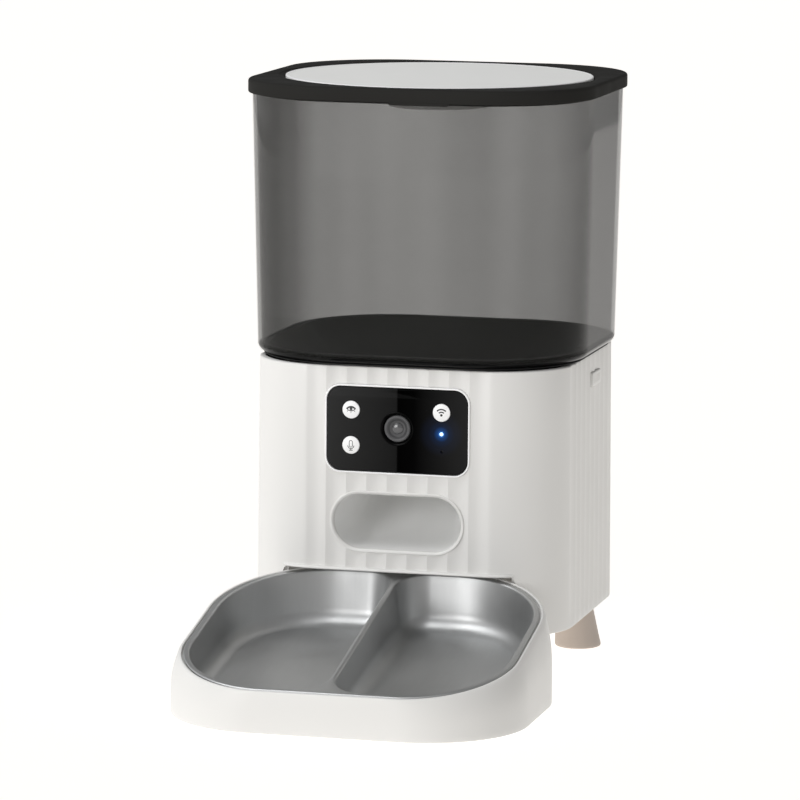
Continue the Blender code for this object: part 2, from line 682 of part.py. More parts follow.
def lid_seal():
    top = LID_PLATE_Z - 0.4
    rings = [level(square(SEAL_HALF[0] - a, SEAL_HALF[1] - a, SEAL_CORNER - a, 8), z)
             for a, z in ((1.2, SEAL_LOW_Z), (0, SEAL_LOW_Z + 1.4), (0.8, top), (SEAL_WIDTH, top),
                          (SEAL_WIDTH, SEAL_LOW_Z))]
    return loft("lid_seal", rings, RUBBER, closed=True)


def desiccant():
    """A shallow cup under the lid and the perforated cap that twists onto it."""
    top, low, radius = LID_PLATE_Z - 0.4, CAP_Z[1] + 0.4, HOLDER_RADIUS
    holder = turned("desiccant_holder", ((radius, low), (radius, top)), WHITE)
    cut(holder, turned("cutter", ((radius - 2, low - 4), (radius - 2, top - 2)), WHITE))
    cap = turned("desiccant_cap", ((radius + 1, CAP_Z[0]), (radius + 2, CAP_Z[0] + 0.8), (radius + 2, CAP_Z[1])),
                 WHITE)
    slots = [turned("cutter", ((CAP_HOLE_RADIUS, CAP_Z[0] - 2), (CAP_HOLE_RADIUS, CAP_Z[1] + 3)), WHITE,
                    (CAP_HOLES_AT * math.cos(a), CAP_HOLES_AT * math.sin(a), 0), steps=6)
             for a in (2 * math.pi * k / CAP_HOLES for k in range(CAP_HOLES))]
    return holder, cut(cap, *slots)


# ---- front panel --------------------------------------------------------

def peg(name, profile, look, x, z, steps=ROUND_STEPS):
    """A piece turned about a front-to-back axis; profile is (radius, y)."""
    return turned(name, profile, look, (x, 0, z), "Y", steps=steps)


def panel_bezel():
    outer, inner = (square(PANEL_HALF[0] + grow, PANEL_HALF[1] + grow, PANEL_CORNER + grow)
                    for grow in (BEZEL_OUT, BEZEL_IN))
    rings = [upright(points, y, PANEL_Z) for points, y in
             ((outer, PANEL_FRONT + 3), (outer, PANEL_FRONT), (inner, PANEL_FRONT), (inner, PANEL_FRONT + 3))]
    return loft("panel_bezel", rings, WHITE, closed=True)


def panel_glass():
    face = square(*PANEL_HALF, PANEL_CORNER)
    glass = loft("panel_glass", [upright(face, y, PANEL_Z) for y in (PANEL_FRONT, PANEL_FRONT + PANEL_THICK)],
                 GLOSS_BLACK)
    through = (PANEL_FRONT - 3, PANEL_FRONT + PANEL_THICK + 3)
    holes = [(LENS_RING_RADIUS + GAP, 0, LENS_Z), (1.4, *LED_AT), (0.7, *MIC_AT)]
    holes += [(ICON_RADIUS + GAP, x, z) for x, z in ICONS.values()]
    return cut(glass, *(peg("cutter", [(radius, y) for y in through], GLOSS_BLACK, x, z, 20 if radius > 2 else 10)
                        for radius, x, z in holes))


def icon_buttons():
    back = PANEL_FRONT + PANEL_THICK + GAP
    profile = ((ICON_RADIUS, PANEL_FRONT - 0.2), (ICON_RADIUS, back), (ICON_RADIUS + 1.1, back),
               (ICON_RADIUS + 1.1, back + 1), (2.2, back + 1), (2.2, back + 3.7))
    return [peg(name, profile, WHITE, x, z, 20) for name, (x, z) in ICONS.items()]


def panel_pcb():
    points = square(38, 21, 2, 2)
    board = loft("panel_pcb", [upright(points, y, PANEL_Z) for y in PANEL_BOARD_Y], BOARD)
    front = PANEL_BOARD_Y[0]
    switches = [block("switch", (x - 3, x + 3), (front - 0.5, front + 1), (z - 3, z + 3), DARK)
                for x, z in ICONS.values()]
    join(board, *switches)
    return cut(board, peg("cutter", ((11.4, -95), (11.4, -80)), BOARD, 0, LENS_Z))


def camera():
    front = PANEL_FRONT
    ring_out, ring_in = LENS_RING_RADIUS, LENS_RADIUS + GAP
    ring = turned("lens_ring", ((ring_out, front + 3), (ring_out, front - 0.2), (ring_in + 0.6, front - 0.2),
                                (ring_in, front + 0.6), (ring_in, front + 3)),
                  GREY, (0, 0, LENS_Z), "Y", closed=True)
    lens = peg("camera_lens", ((2.4, front + 0.1), (5.2, front + 0.5), (LENS_RADIUS, front + 1.4),
                               (LENS_RADIUS, front + 3)), GLASS, 0, LENS_Z)
    back = CAMERA_BACK_Y
    housing = peg("camera_housing", ((10.6, front + 3.4), (10.6, back), (7, back), (7, back + 1.6)), DARK, 0, LENS_Z)
    board = block("camera_pcb", (-14, 14), (back + 2, back + 3.4), (LENS_Z - 14, LENS_Z + 14), BOARD)
    return ring, lens, housing, board


def panel_small_parts():
    end = PANEL_BOARD_Y[0] - 0.4
    led = peg("status_led", ((1.1, PANEL_FRONT + 0.1), (1.1, end)), BLUE, *LED_AT, 10)
    microphone = peg("microphone", ((3, PANEL_FRONT + 2.5), (3, end)), DARK, *MIC_AT, 12)
    return led, microphone


# ---- electrics and battery ----------------------------------------------

def main_pcb():
    """The control board along the right wall, with its larger parts standing inwards."""
    board = block("main_pcb", BOARD_X, (-38, 14), (42, 104), BOARD)
    tall = ((3, (-20, 0), (66, 86)), (6, (-32, -24), (48, 60)), (4, (-6, 8), (46, 58)))
    return join(board, *(block("chip", (BOARD_X[0] - height, BOARD_X[0] + 0.5), y_range, z_range, DARK)
                         for height, y_range, z_range in tall))


def speaker():
    """A cone driver behind the slots in the rear wall."""
    return peg("speaker", ((18, 89), (18, 86), (12, 84), (12, 76)), DARK, *SPEAKER_AT)


def power_socket():
    """A round DC inlet whose mouth shows in the rear wall."""
    socket = peg("power_socket", ((SOCKET_RADIUS, 93.2), (SOCKET_RADIUS, 90.2), (7.6, 90.2), (7.6, 82)), DARK,
                 *SOCKET_AT, 16)
    return cut(socket, peg("cutter", ((3.2, 96), (3.2, 84)), DARK, *SOCKET_AT, 14))


def battery_box():
    box = block("battery_box", (-BATTERY_HALF_X, BATTERY_HALF_X), BATTERY_Y, BATTERY_Z, WHITE)
    wall = BATTERY_WALL
    return cut(box, block("cutter", (-BATTERY_HALF_X + wall, BATTERY_HALF_X - wall),
                          (BATTERY_Y[0] + wall, BATTERY_Y[1] - wall), (20, BATTERY_Z[1] - wall), WHITE))


def battery_contacts():
    front, rear = BATTERY_Y[0] + BATTERY_WALL + GAP, BATTERY_Y[1] - BATTERY_WALL - 0.9
    made = [block("battery_contact", (-44, 44), (front, front + 0.6), (CELL_Z - 7, CELL_Z + 7), STEEL)]
    for index, x in enumerate(CELLS_X, 1):
        made.append(spring(f"battery_spring_{index}", (x, rear, CELL_Z), (x, rear - 5.5, CELL_Z), (7.5, 4.0), 3, 0.5,
                           STEEL))
    return made


def battery_door():
    door = block("battery_door", (-DOOR_HALF_X, DOOR_HALF_X), DOOR_Y, (PLATE_Z[0], PLATE_Z[0] + 2.0), WHITE)
    grip = block("cutter", (-9, 9), (DOOR_Y[0] + 4, DOOR_Y[0] + 10), (PLATE_Z[0] - 1, PLATE_Z[0] + 0.9), WHITE)
    return cut(door, grip)


# ---- release buttons, tray and bowl -------------------------------------

def release_buttons():
    """A flanged cap in each side wall, and the spring between it and the deck's tab."""
    made = []
    face = square(*RELEASE_HALF, 1.3, 3)
    flange = square(RELEASE_HALF[0] + RELEASE_FLANGE, RELEASE_HALF[1] + RELEASE_FLANGE, 2.0, 3)
    back, seat = RELEASE_FLANGE_X
    for side, sx in (("right", 1), ("left", -1)):
        rings = [sideways(points, sx * x, RELEASE_Y, RELEASE_Z)
                 for points, x in ((face, RELEASE_FACE_X), (face, seat), (flange, seat), (flange, back))]
        made.append(loft(f"release_button_{side}", rings, WHITE))
        made.append(spring(f"release_spring_{side}", (sx * (TAB_X[1] + 0.9), RELEASE_Y, RELEASE_Z),
                           (sx * (back - 0.9), RELEASE_Y, RELEASE_Z), (3.2, 3.2), 4, 0.45, STEEL))
    return made


def rim_z(y):
    return RIM_REAR_Z + RIM_SLOPE * (y - RIM_Y[1])


def tray_ring(share_of_height, towards_rim, amount=0.0, drop=0.0):
    """The tray's outline at a share of the rim's height, blended from the foot outline to the rim outline."""
    foot = inset(outline((-TRAY_X, TRAY_X), TRAY_Y, TRAY_CORNERS, 7), amount)
    rim = inset(outline((-RIM_X, RIM_X), RIM_Y, RIM_CORNERS, 7), amount)
    ring = []
    for (a, b), (c, d) in zip(foot, rim):
        x, y = a + (c - a) * towards_rim, b + (d - b) * towards_rim
        ring.append(Vector((x, y, rim_z(y) * share_of_height - drop)))
    return ring


def tray():
    """A tub with a ledge for the bowl's flange; its rear edge slides into the body's bay."""
    tub = loft("tray", [tray_ring(0, 0, 0.8), tray_ring(0.03, 0), tray_ring(0.6, 0.1), tray_ring(0.85, 0.5),
                        tray_ring(1, 1)], WHITE)
    floor = [Vector((p.x, p.y, TRAY_FLOOR)) for p in tray_ring(0, 0, 3.4)]
    ledge = FLANGE_THICK + GAP
    inside = loft("cutter", [floor, tray_ring(1, 1, POCKET_INSET + 2.6, ledge), tray_ring(1, 1, POCKET_INSET, ledge),
                             tray_ring(1, 1, POCKET_INSET, -3)], WHITE)
    return cut(tub, inside)


def cavity(name, side, grow, depth_grow):
    """One half of the bowl as a solid: its inside, or its outside when grown by the sheet."""
    bowl_x = RIM_X - BOWL_INSET - FLANGE_WIDTH
    y_range = (RIM_Y[0] + BOWL_INSET + FLANGE_WIDTH, RIM_Y[1] - BOWL_INSET - FLANGE_WIDTH)
    far, near = (RIM_CORNERS[0] - 6, RIM_CORNERS[1] - 6), DIVIDER_CORNER
    if side > 0:
        x_range, corners = (DIVIDER_HALF, bowl_x), (far[0], far[1], near, near)
    else:
        x_range, corners = (-bowl_x, -DIVIDER_HALF), (near, near, far[1], far[0])
    top = outline(x_range, y_range, corners, 6)
    rings = []
    for amount, share in ((0.0, 0.0), (1.0, 0.06), (3.2, 0.55), (6.5, 0.86), (12.0, 1.0)):
        ring = []
        for x, y in inset(top, amount - grow):
            high = rim_z(y) + 0.2 - (0.4 if grow else 0)
            low = BOWL_FLOOR_Z + BOWL_FLOOR_SLOPE * (y - RIM_Y[0]) - depth_grow
            ring.append(Vector((x, y, high + (low - high) * share)))
        rings.append(ring)
    if not grow:
        rings.insert(0, [p + Vector((0, 0, 3)) for p in rings[0]])
    return loft(name, rings, STEEL)


def bowl():
    rim = outline((-RIM_X, RIM_X), RIM_Y, RIM_CORNERS, 8)
    plate = [[Vector((x, y, rim_z(y) + lift)) for x, y in inset(rim, BOWL_INSET + tuck)]
             for tuck, lift in ((0.5, -FLANGE_THICK), (0.0, -0.8), (0.0, -0.3), (0.5, 0.2))]
    flange = loft("bowl", plate, STEEL)
    join(flange, cavity("outside", 1, SHEET, SHEET), cavity("outside", -1, SHEET, SHEET))
    return cut(flange, cavity("inside", 1, 0, 0), cavity("inside", -1, 0, 0))


# ---- assembly -----------------------------------------------------------

def group(name, anchor, pieces, parent):
    """Hang pieces on an empty at a joint's anchor; anchor is in the drawing frame."""
    empty = bpy.data.objects.new(name, None)
    bpy.context.scene.collection.objects.link(empty)
    empty.parent = parent
    empty.location = Vector(anchor) * MM
    for piece in pieces:
        piece.parent = empty
        piece.location = -Vector(anchor) * MM
    return empty


def main():
    for old in list(bpy.data.objects):
        bpy.data.objects.remove(old)
    feeder = bpy.data.objects.new("feeder", None)
    bpy.context.scene.collection.objects.link(feeder)
    feeder.location = (0, ROOT_Y * MM, 0)

    fixed = [body_shell(), base_plate(), tray_bay(), mid_deck(), rotor_housing(), chute(), gearbox_case(),
             gearbox_cover(), idler_pin(), motor(), panel_bezel(), panel_glass(), panel_pcb(), main_pcb(),
             speaker(), power_socket(), battery_box(), *base_screws(), *feet(), *camera(),
             *panel_small_parts(), *battery_contacts()]
    group("base", (0, 0, 0), fixed, feeder)
    group("hopper", (0, 0, 0), [hopper_wall(), hopper_funnel(), hopper_seal()], feeder)
    holder, cap = desiccant()
    group("lid", (0, 0, 0), [lid_frame(), lid_disc(), lid_seal(), holder], feeder)
    group("cap", (0, 0, CAP_Z[0]), [cap], feeder)
    output, idler, pinion = gears()
    group("feed_rotor", (0, 0, 0), [rotor(), stirrer(), drive_shaft(), output], feeder)
    group("idler", (IDLER_X, 0, 0), [idler], feeder)
    group("pinion", (MOTOR_X, 0, 0), [pinion], feeder)
    group("tray_group", (0, 0, 0), [tray()], feeder)
    group("bowl_group", (0, 0, 0), [bowl()], feeder)
    group("door", (0, DOOR_HINGE_Y, 32), [battery_door()], feeder)
    right, right_spring, left, left_spring = release_buttons()
    group("release_right", (90, RELEASE_Y, RELEASE_Z), [right, right_spring], feeder)
    group("release_left", (-90, RELEASE_Y, RELEASE_Z), [left, left_spring], feeder)
    for button in icon_buttons():
        x, z = ICONS[button.name]
        group(button.name + "_press", (x, PANEL_FRONT, z), [button], feeder)


main()
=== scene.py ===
"""Automatic pet feeder: the finished surfaces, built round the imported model.

Lengths are in millimetres in the drawing frame, whose origin is on the floor under the body's axis.
place() turns such a point into metres in the model's frame.
"""

import math

import bmesh
import bpy
from mathutils import Matrix, Vector


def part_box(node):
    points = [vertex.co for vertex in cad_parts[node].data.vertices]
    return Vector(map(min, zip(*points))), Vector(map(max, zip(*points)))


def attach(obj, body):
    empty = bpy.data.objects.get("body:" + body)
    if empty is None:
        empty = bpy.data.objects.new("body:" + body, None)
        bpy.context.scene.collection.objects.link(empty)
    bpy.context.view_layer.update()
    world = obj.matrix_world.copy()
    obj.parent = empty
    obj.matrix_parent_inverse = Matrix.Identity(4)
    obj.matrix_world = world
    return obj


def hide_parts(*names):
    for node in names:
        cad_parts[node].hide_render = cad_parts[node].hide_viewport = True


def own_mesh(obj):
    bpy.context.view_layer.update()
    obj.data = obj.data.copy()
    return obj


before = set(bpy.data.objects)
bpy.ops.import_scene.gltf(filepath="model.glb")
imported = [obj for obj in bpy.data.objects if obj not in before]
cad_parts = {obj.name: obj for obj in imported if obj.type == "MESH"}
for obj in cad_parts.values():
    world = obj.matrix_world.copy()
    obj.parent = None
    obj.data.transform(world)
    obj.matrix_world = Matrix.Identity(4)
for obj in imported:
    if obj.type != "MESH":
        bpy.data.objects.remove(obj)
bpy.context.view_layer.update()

MM = 0.001
LID_LOW, LID_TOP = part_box("lid_frame")
AXIS_Y = (LID_LOW.y + LID_TOP.y) / 2


def millimetres(node):
    """A node's box in the drawing frame."""
    low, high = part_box(node)
    shift = Vector((0, AXIS_Y, 0))
    return (low - shift) / MM, (high - shift) / MM


def middle(node):
    """The middle of a node's box, seen from the front: its x and z in the drawing frame."""
    low, high = millimetres(node)
    return (low.x + high.x) / 2, (low.z + high.z) / 2


def place(point):
    """A point of the drawing frame, in metres in the model's frame."""
    return Vector((point[0] * MM, point[1] * MM + AXIS_Y, point[2] * MM))


# ---- sizes ----

TURN = 192                     # points round a lid, hopper or funnel ring
BODY_LOW, BODY_HIGH = millimetres("body_shell")
BODY_HALF = (BODY_HIGH.x, 93.7)
BODY_TOP_HALF = (94.2, 92.8)
BODY_CORNER = 46.0
BODY_WALL = 2.6
CUT_INSIDE, CUT_OUTSIDE = 86.0, 99.0    # distances just inside and well outside the body's walls
FLUTES, FLUTE_PITCH, FLUTE_DEPTH = 9, 12.2, 1.0
FLUTE_STEPS, CORNER_STEPS = 12, 26

LID_MIN, LID_MAX = millimetres("lid_frame")
LID_HALF = (LID_MAX.x, LID_MAX.y)
LID_CORNER = 64.0
LID_EDGE_Z, LID_TOP_Z = 338.0, LID_MAX.z
LID_PLATE_Z = 340.6
DISC_MIN, DISC_MAX = millimetres("lid_disc")
DISC_RADIUS = DISC_MAX.x
DISC_RIM = 1.7                 # width of the bright line round the lid's insert
TAB_X = (-3.8, 31.0)
TAB_HEIGHT = 2.4

HOPPER_MIN, HOPPER_MAX = millimetres("hopper_wall")
HOPPER_LOW_HALF = (98.8, 96.2)
HOPPER_TOP_HALF = (HOPPER_MAX.x, HOPPER_MAX.y)
HOPPER_CORNER = 63.5
HOPPER_WALL = 2.2
HOPPER_LIP = 6.6
HOPPER_FOOT_RADIUS, HOPPER_FOOT_INSIDE = 4.4, 2.4
HOPPER_BAND = (3.0, 4.2)       # the black bottom edge fades out over these heights
FUNNEL_MIN, FUNNEL_MAX = millimetres("hopper_funnel")
NECK_RADIUS = 50.0
FUNNEL_WALL = 1.8
FUNNEL_INSET = 7.8

PANEL_MIN, PANEL_MAX = millimetres("panel_glass")
PANEL_HALF = (PANEL_MAX.x, (PANEL_MAX.z - PANEL_MIN.z) / 2)
PANEL_Z = (PANEL_MAX.z + PANEL_MIN.z) / 2
PANEL_FRONT = PANEL_MIN.y
PANEL_CORNER = 8.0
BEZEL_IN, BEZEL_OUT = 0.4, 1.4
LENS_Z = 148.6
LENS_RADIUS, SURROUND_RADIUS = 7.7, 9.8
DOME_RADIUS = 3.3
ICON_RADIUS = 5.15
LAMP_HOLE, MICROPHONE_HOLE = 1.25, 0.95
HALO_RADIUS = 14.0             # how far the status light's glow reaches in the glass
HOLE_GAP = 0.15

RELEASE_EDGE = 1.6             # how much smaller a release button's face is than its flange
RELEASE_GAP = 0.4
RELEASE_RIBS, RIB_PITCH, RIB_WIDTH = 5, 3.4, 0.9
SOCKET_HOLE = 5.6
SPEAKER_SLOTS, SLOT_PITCH, SLOT_HALF = 5, 5, (1.1, 13)

CHUTE_HALF = (38.8, 16.8)
CHUTE_Z = 93.3
CHUTE_WALL = 1.8
DUCT_TOP_HALF, DUCT_TOP_CORNER = (24.0, 14.0), 6
DUCT_ENDS = ((-35.0, 126.8), (-90.6, CHUTE_Z))         # (y, z) at the rotor and at the mouth
DUCT_BENDS = ((-35.0, 106.0), (-64.0, CHUTE_Z + 1.0))
BAY_HALF_X, BAY_TOP_Z = 69.8, 65.0
VISOR_HALF_X, VISOR_END = 69.0, 4
VISOR_Z = (BAY_TOP_Z - 0.6, BAY_TOP_Z + 1.1)
VISOR_REACH = 1.9
FOOT_TAPER, FOOT_SPLAY = 3.3, 3.0

TRAY_MIN, TRAY_MAX = millimetres("tray")
TRAY_X, TRAY_REAR = TRAY_MAX.x, -84.0
TRAY_CORNERS = (60.0, 58.0, 58.0, 60.0)
RIM_X, RIM_Y = 98.0, (-252.0, -79.5)
RIM_CORNERS = (60.0, 65.0, 65.0, 60.0)
RIM_REAR_Z, RIM_SLOPE = 64.0, 0.232
POCKET_INSET, BOWL_INSET = 1.2, 2.2
FLANGE_WIDTH = 3.6
FLANGE_THICK = 1.5
EDGE_ROLL = 0.85
SHEET_THICK = 0.6
CAVITY_TOP_RADIUS, CAVITY_FLOOR_RADIUS, CAVITY_LEAN = 1.3, 9.0, 2.2
BOWL_FLOOR_Z, BOWL_FLOOR_SLOPE = 4.6, 0.165
DIVIDER_HALF, DIVIDER_CORNER = 1.6, 18.0


# ---- materials ----

def new_material(name):
    """A material with its node tree and its shader."""
    material = bpy.data.materials.new(name)
    material.use_nodes = True
    tree = material.node_tree
    return material, tree, tree.nodes["Principled BSDF"]


def own_place(tree):
    """Where a point is in its piece's own axes."""
    return tree.nodes.new("ShaderNodeTexCoord").outputs["Object"]


def noise(tree, scale, detail=3.0, stretch=(1, 1, 1)):
    """Noise over the piece, with scale in cycles per metre."""
    mapping = tree.nodes.new("ShaderNodeMapping")
    mapping.inputs["Scale"].default_value = stretch
    tree.links.new(own_place(tree), mapping.inputs["Vector"])
    pattern = tree.nodes.new("ShaderNodeTexNoise")
    pattern.inputs["Scale"].default_value = scale
    pattern.inputs["Detail"].default_value = detail
    tree.links.new(mapping.outputs["Vector"], pattern.inputs["Vector"])
    return pattern.outputs["Fac"]


def spread(tree, source, low, high):
    """A noise value stretched to a range."""
    node = tree.nodes.new("ShaderNodeMapRange")
    node.inputs["From Min"].default_value = 0.25
    node.inputs["From Max"].default_value = 0.75
    node.inputs["To Min"].default_value = low
    node.inputs["To Max"].default_value = high
    tree.links.new(source, node.inputs["Value"])
    return node.outputs["Result"]


def blend_colours(tree, factor, first, second):
    """The first colour at 0 and the second at 1."""
    node = tree.nodes.new("ShaderNodeMix")
    node.data_type = "RGBA"
    node.inputs[6].default_value = (*first, 1)
    node.inputs[7].default_value = (*second, 1)
    tree.links.new(factor, node.inputs[0])
    return node.outputs[2]


def colour_ramp(tree, factor, stops, interpolation="LINEAR"):
    """A colour that runs through stops, each a position and a colour."""
    node = tree.nodes.new("ShaderNodeValToRGB")
    node.color_ramp.interpolation = interpolation
    node.color_ramp.elements[0].color = (*stops[0][1], 1)
    node.color_ramp.elements[1].color = (*stops[-1][1], 1)
    for position, colour in stops[1:-1]:
        node.color_ramp.elements.new(position).color = (*colour, 1)
    tree.links.new(factor, node.inputs["Fac"])
    return node.outputs["Color"]


def add_bump(tree, shader, height, strength, distance):
    """Fine relief from a height value."""
    bump = tree.nodes.new("ShaderNodeBump")
    bump.inputs["Strength"].default_value = strength
    bump.inputs["Distance"].default_value = distance
    tree.links.new(height, bump.inputs["Height"])
    tree.links.new(bump.outputs["Normal"], shader.inputs["Normal"])


def uneven_gloss(tree, shader, scale, low, high):
    """Roughness that drifts between two values over the piece."""
    tree.links.new(spread(tree, noise(tree, scale), low, high), shader.inputs["Roughness"])


def moulded(name, colour, rough, shade=0.04, grain=2600, bump=0.12, coat=0.0, specular=0.5):
    """Moulded plastic or rubber: faint cloudy colour, uneven gloss and a fine spark-eroded grain."""
    material, tree, shader = new_material(name)
    darker = tuple(channel * (1 - shade) for channel in colour)
    tree.links.new(blend_colours(tree, noise(tree, 14), darker, colour), shader.inputs["Base Color"])
    uneven_gloss(tree, shader, 70, rough * 0.88, rough * 1.12)
    add_bump(tree, shader, noise(tree, grain, 2.0), bump, 0.00004)
    shader.inputs["Specular IOR Level"].default_value = specular
    shader.inputs["Coat Weight"].default_value = coat
    shader.inputs["Coat Roughness"].default_value = 0.05
    return material


def pressed_steel(name, colour, rough, stretch):
    """Drawn stainless sheet: long faint brush marks, cloudy gloss and a little waviness."""
    material, tree, shader = new_material(name)
    marks = noise(tree, 500, 2.0, stretch)
    darker = tuple(channel * 0.94 for channel in colour)
    tree.links.new(blend_colours(tree, marks, darker, colour), shader.inputs["Base Color"])
    uneven_gloss(tree, shader, 30, rough * 0.85, rough * 1.2)
    add_bump(tree, shader, marks, 0.03, 0.00002)
    shader.inputs["Metallic"].default_value = 1.0
    return material


def axis_share(tree, axis, low, high):
    """0 at low and 1 at high along one of the piece's own axes, in millimetres."""
    split = tree.nodes.new("ShaderNodeSeparateXYZ")
    tree.links.new(own_place(tree), split.inputs["Vector"])
    node = tree.nodes.new("ShaderNodeMapRange")
    node.inputs["From Min"].default_value = low * MM
    node.inputs["From Max"].default_value = high * MM
    tree.links.new(split.outputs[axis], node.inputs["Value"])
    return node.outputs["Result"]


def smoky(name, colour, clear_alpha, edge_alpha):
    """See-through smoky plastic: denser at a glancing view and nearly solid in its thick bottom edge."""
    material, tree, shader = new_material(name)
    upper = axis_share(tree, "Z", HOPPER_MIN.z + HOPPER_BAND[0], HOPPER_MIN.z + HOPPER_BAND[1])
    tree.links.new(blend_colours(tree, upper, (0.004, 0.004, 0.004), colour), shader.inputs["Base Color"])
    shader.inputs["Specular IOR Level"].default_value = 0.08
    uneven_gloss(tree, shader, 20, 0.05, 0.09)
    facing = tree.nodes.new("ShaderNodeLayerWeight")
    facing.inputs["Blend"].default_value = 0.20
    dense = tree.nodes.new("ShaderNodeMapRange")
    dense.inputs["To Min"].default_value = clear_alpha
    dense.inputs["To Max"].default_value = edge_alpha
    tree.links.new(facing.outputs["Facing"], dense.inputs["Value"])
    streaks = tree.nodes.new("ShaderNodeMath")
    streaks.operation = "ADD"
    tree.links.new(dense.outputs["Result"], streaks.inputs[0])
    tree.links.new(spread(tree, noise(tree, 26, 1.0, (1, 1, 0.02)), -0.05, 0.05), streaks.inputs[1])
    alpha = tree.nodes.new("ShaderNodeMix")
    alpha.inputs[2].default_value = 1.0
    tree.links.new(upper, alpha.inputs[0])
    tree.links.new(streaks.outputs[0], alpha.inputs[3])
    tree.links.new(alpha.outputs[0], shader.inputs["Alpha"])
    return material


def distance_share(tree, point, radius):
    """0 at a point of the drawing frame and 1 at a radius from it, in millimetres."""
    measure = tree.nodes.new("ShaderNodeVectorMath")
    measure.operation = "DISTANCE"
    measure.inputs[1].default_value = place(point)
    tree.links.new(own_place(tree), measure.inputs[0])
    scaled = tree.nodes.new("ShaderNodeMath")
    scaled.operation = "DIVIDE"
    scaled.inputs[1].default_value = radius * MM
    tree.links.new(measure.outputs["Value"], scaled.inputs[0])
    return scaled.outputs[0]


def panel_glass_material(name):
    """Gloss black glass with a painted reflection that makes it greyer left of the middle, and the soft blue
    halo of the status light.
    """
    material, tree, shader = new_material(name)
    # painted reflection: the glass's colour is greyer on the left half and a little lighter towards the right
    # end, standing in for reflected light
    reflection_greys = ((0.0, 0.030), (0.495, 0.012), (0.505, 0.0002), (0.62, 0.001), (1.0, 0.021))
    across = axis_share(tree, "X", -PANEL_HALF[0], PANEL_HALF[0])
    painted_reflection = colour_ramp(tree, across, [(position, (grey,) * 3) for position, grey in reflection_greys])
    tree.links.new(painted_reflection, shader.inputs["Base Color"])
    shader.inputs["Specular IOR Level"].default_value = 0.01
    uneven_gloss(tree, shader, 40, 0.05, 0.08)
    glow = ((0.0, (0.2, 0.5, 1.0)), (0.09, (0.04, 0.20, 0.7)), (0.17, (0.004, 0.05, 0.2)),
            (0.35, (0.002, 0.010, 0.035)), (0.6, (0.002, 0.004, 0.012)), (1.0, (0, 0, 0)))
    lamp_x, lamp_z = middle("status_led")
    away = distance_share(tree, (lamp_x, PANEL_FRONT, lamp_z), HALO_RADIUS)
    tree.links.new(colour_ramp(tree, away, glow, "EASE"), shader.inputs["Emission Color"])
    shader.inputs["Emission Strength"].default_value = 0.7
    return material


def circuit_board(name):
    """Green solder mask over faint copper tracks."""
    material, tree, shader = new_material(name)
    tracks = tree.nodes.new("ShaderNodeTexBrick")
    tracks.inputs["Scale"].default_value = 160
    tracks.inputs["Mortar Size"].default_value = 0.06
    tracks.inputs["Color1"].default_value = (0.012, 0.10, 0.035, 1)
    tracks.inputs["Color2"].default_value = (0.016, 0.12, 0.045, 1)
    tracks.inputs["Mortar"].default_value = (0.03, 0.2, 0.07, 1)
    tree.links.new(own_place(tree), tracks.inputs["Vector"])
    tree.links.new(tracks.outputs["Color"], shader.inputs["Base Color"])
    uneven_gloss(tree, shader, 200, 0.25, 0.4)
    return material


def lit_plastic(name, colour, strength):
    """A light pipe that glows in its own colour."""
    material, tree, shader = new_material(name)
    shader.inputs["Base Color"].default_value = (*colour, 1)
    shader.inputs["Emission Color"].default_value = (*colour, 1)
    shader.inputs["Emission Strength"].default_value = strength
    uneven_gloss(tree, shader, 800, 0.25, 0.35)
    return material


def make_materials():
    """Every finish, by its short name."""
    return {
        "white": moulded("white_moulding", (0.785, 0.777, 0.758), 0.40, 0.02, bump=0.08),
        "disc": moulded("disc_white", (0.90, 0.90, 0.88), 0.5, 0.02, bump=0.08, specular=0.3),
        "icon_white": moulded("icon_white", (0.97, 0.97, 0.97), 0.35, 0.005, bump=0.04),
        "icon_ink": moulded("icon_ink", (0.02, 0.02, 0.022), 0.5, 0.1),
        "lid": moulded("lid_black", (0.027, 0.0265, 0.025), 0.5, 0.15, 1800, 0.03, specular=0.005),
        "dark": moulded("dark_moulding", (0.035, 0.035, 0.038), 0.45, 0.1, 1600, 0.25),
        "funnel": moulded("funnel_moulding", (0.06, 0.06, 0.062), 0.35, 0.1, 1600, 0.15),
        # painted light: the duct's white is brighter than the body's, standing in for light reaching into the
        # deep chute
        "chute": moulded("chute_moulding", (0.95, 0.95, 0.94), 0.45, 0.01, bump=0.06),
        "taupe": moulded("taupe_moulding", (0.52, 0.45, 0.40), 0.55, 0.06, 1500, 0.3),
        "rubber": moulded("black_rubber", (0.018, 0.018, 0.018), 0.62, 0.15, 1300, 0.35),
        "acetal": moulded("acetal", (0.78, 0.77, 0.71), 0.38, 0.04),
        "lens_black": moulded("lens_black", (0.002, 0.002, 0.002), 0.3, 0.1, 1800, 0.02, specular=0.06),
        "barrel": moulded("barrel_grey", (0.105, 0.105, 0.108), 0.38, 0.1, 1800, 0.05, specular=0.2),
        "barrel_dark": moulded("barrel_dark", (0.05, 0.05, 0.052), 0.35, 0.1, 1800, 0.05,
                               specular=0.2),
        "lens": moulded("lens_coated", (0.09, 0.09, 0.094), 0.12, 0.1, 1800, 0.0, coat=0.6),
        "steel": pressed_steel("pressed_steel", (0.50, 0.505, 0.505), 0.42, (1, 0.08, 0.08)),
        "hardware": pressed_steel("hardware_steel", (0.56, 0.56, 0.55), 0.32, (1, 1, 0.1)),
        "smoke": smoky("smoky_plastic", (0.024, 0.024, 0.022), 0.33, 0.86),
        "glass": panel_glass_material("panel_black_glass"),
        "board": circuit_board("circuit_board"),
        "lamp": lit_plastic("status_lamp", (0.45, 0.72, 1.0), 1.6),
    }


# ---- mesh helpers ----

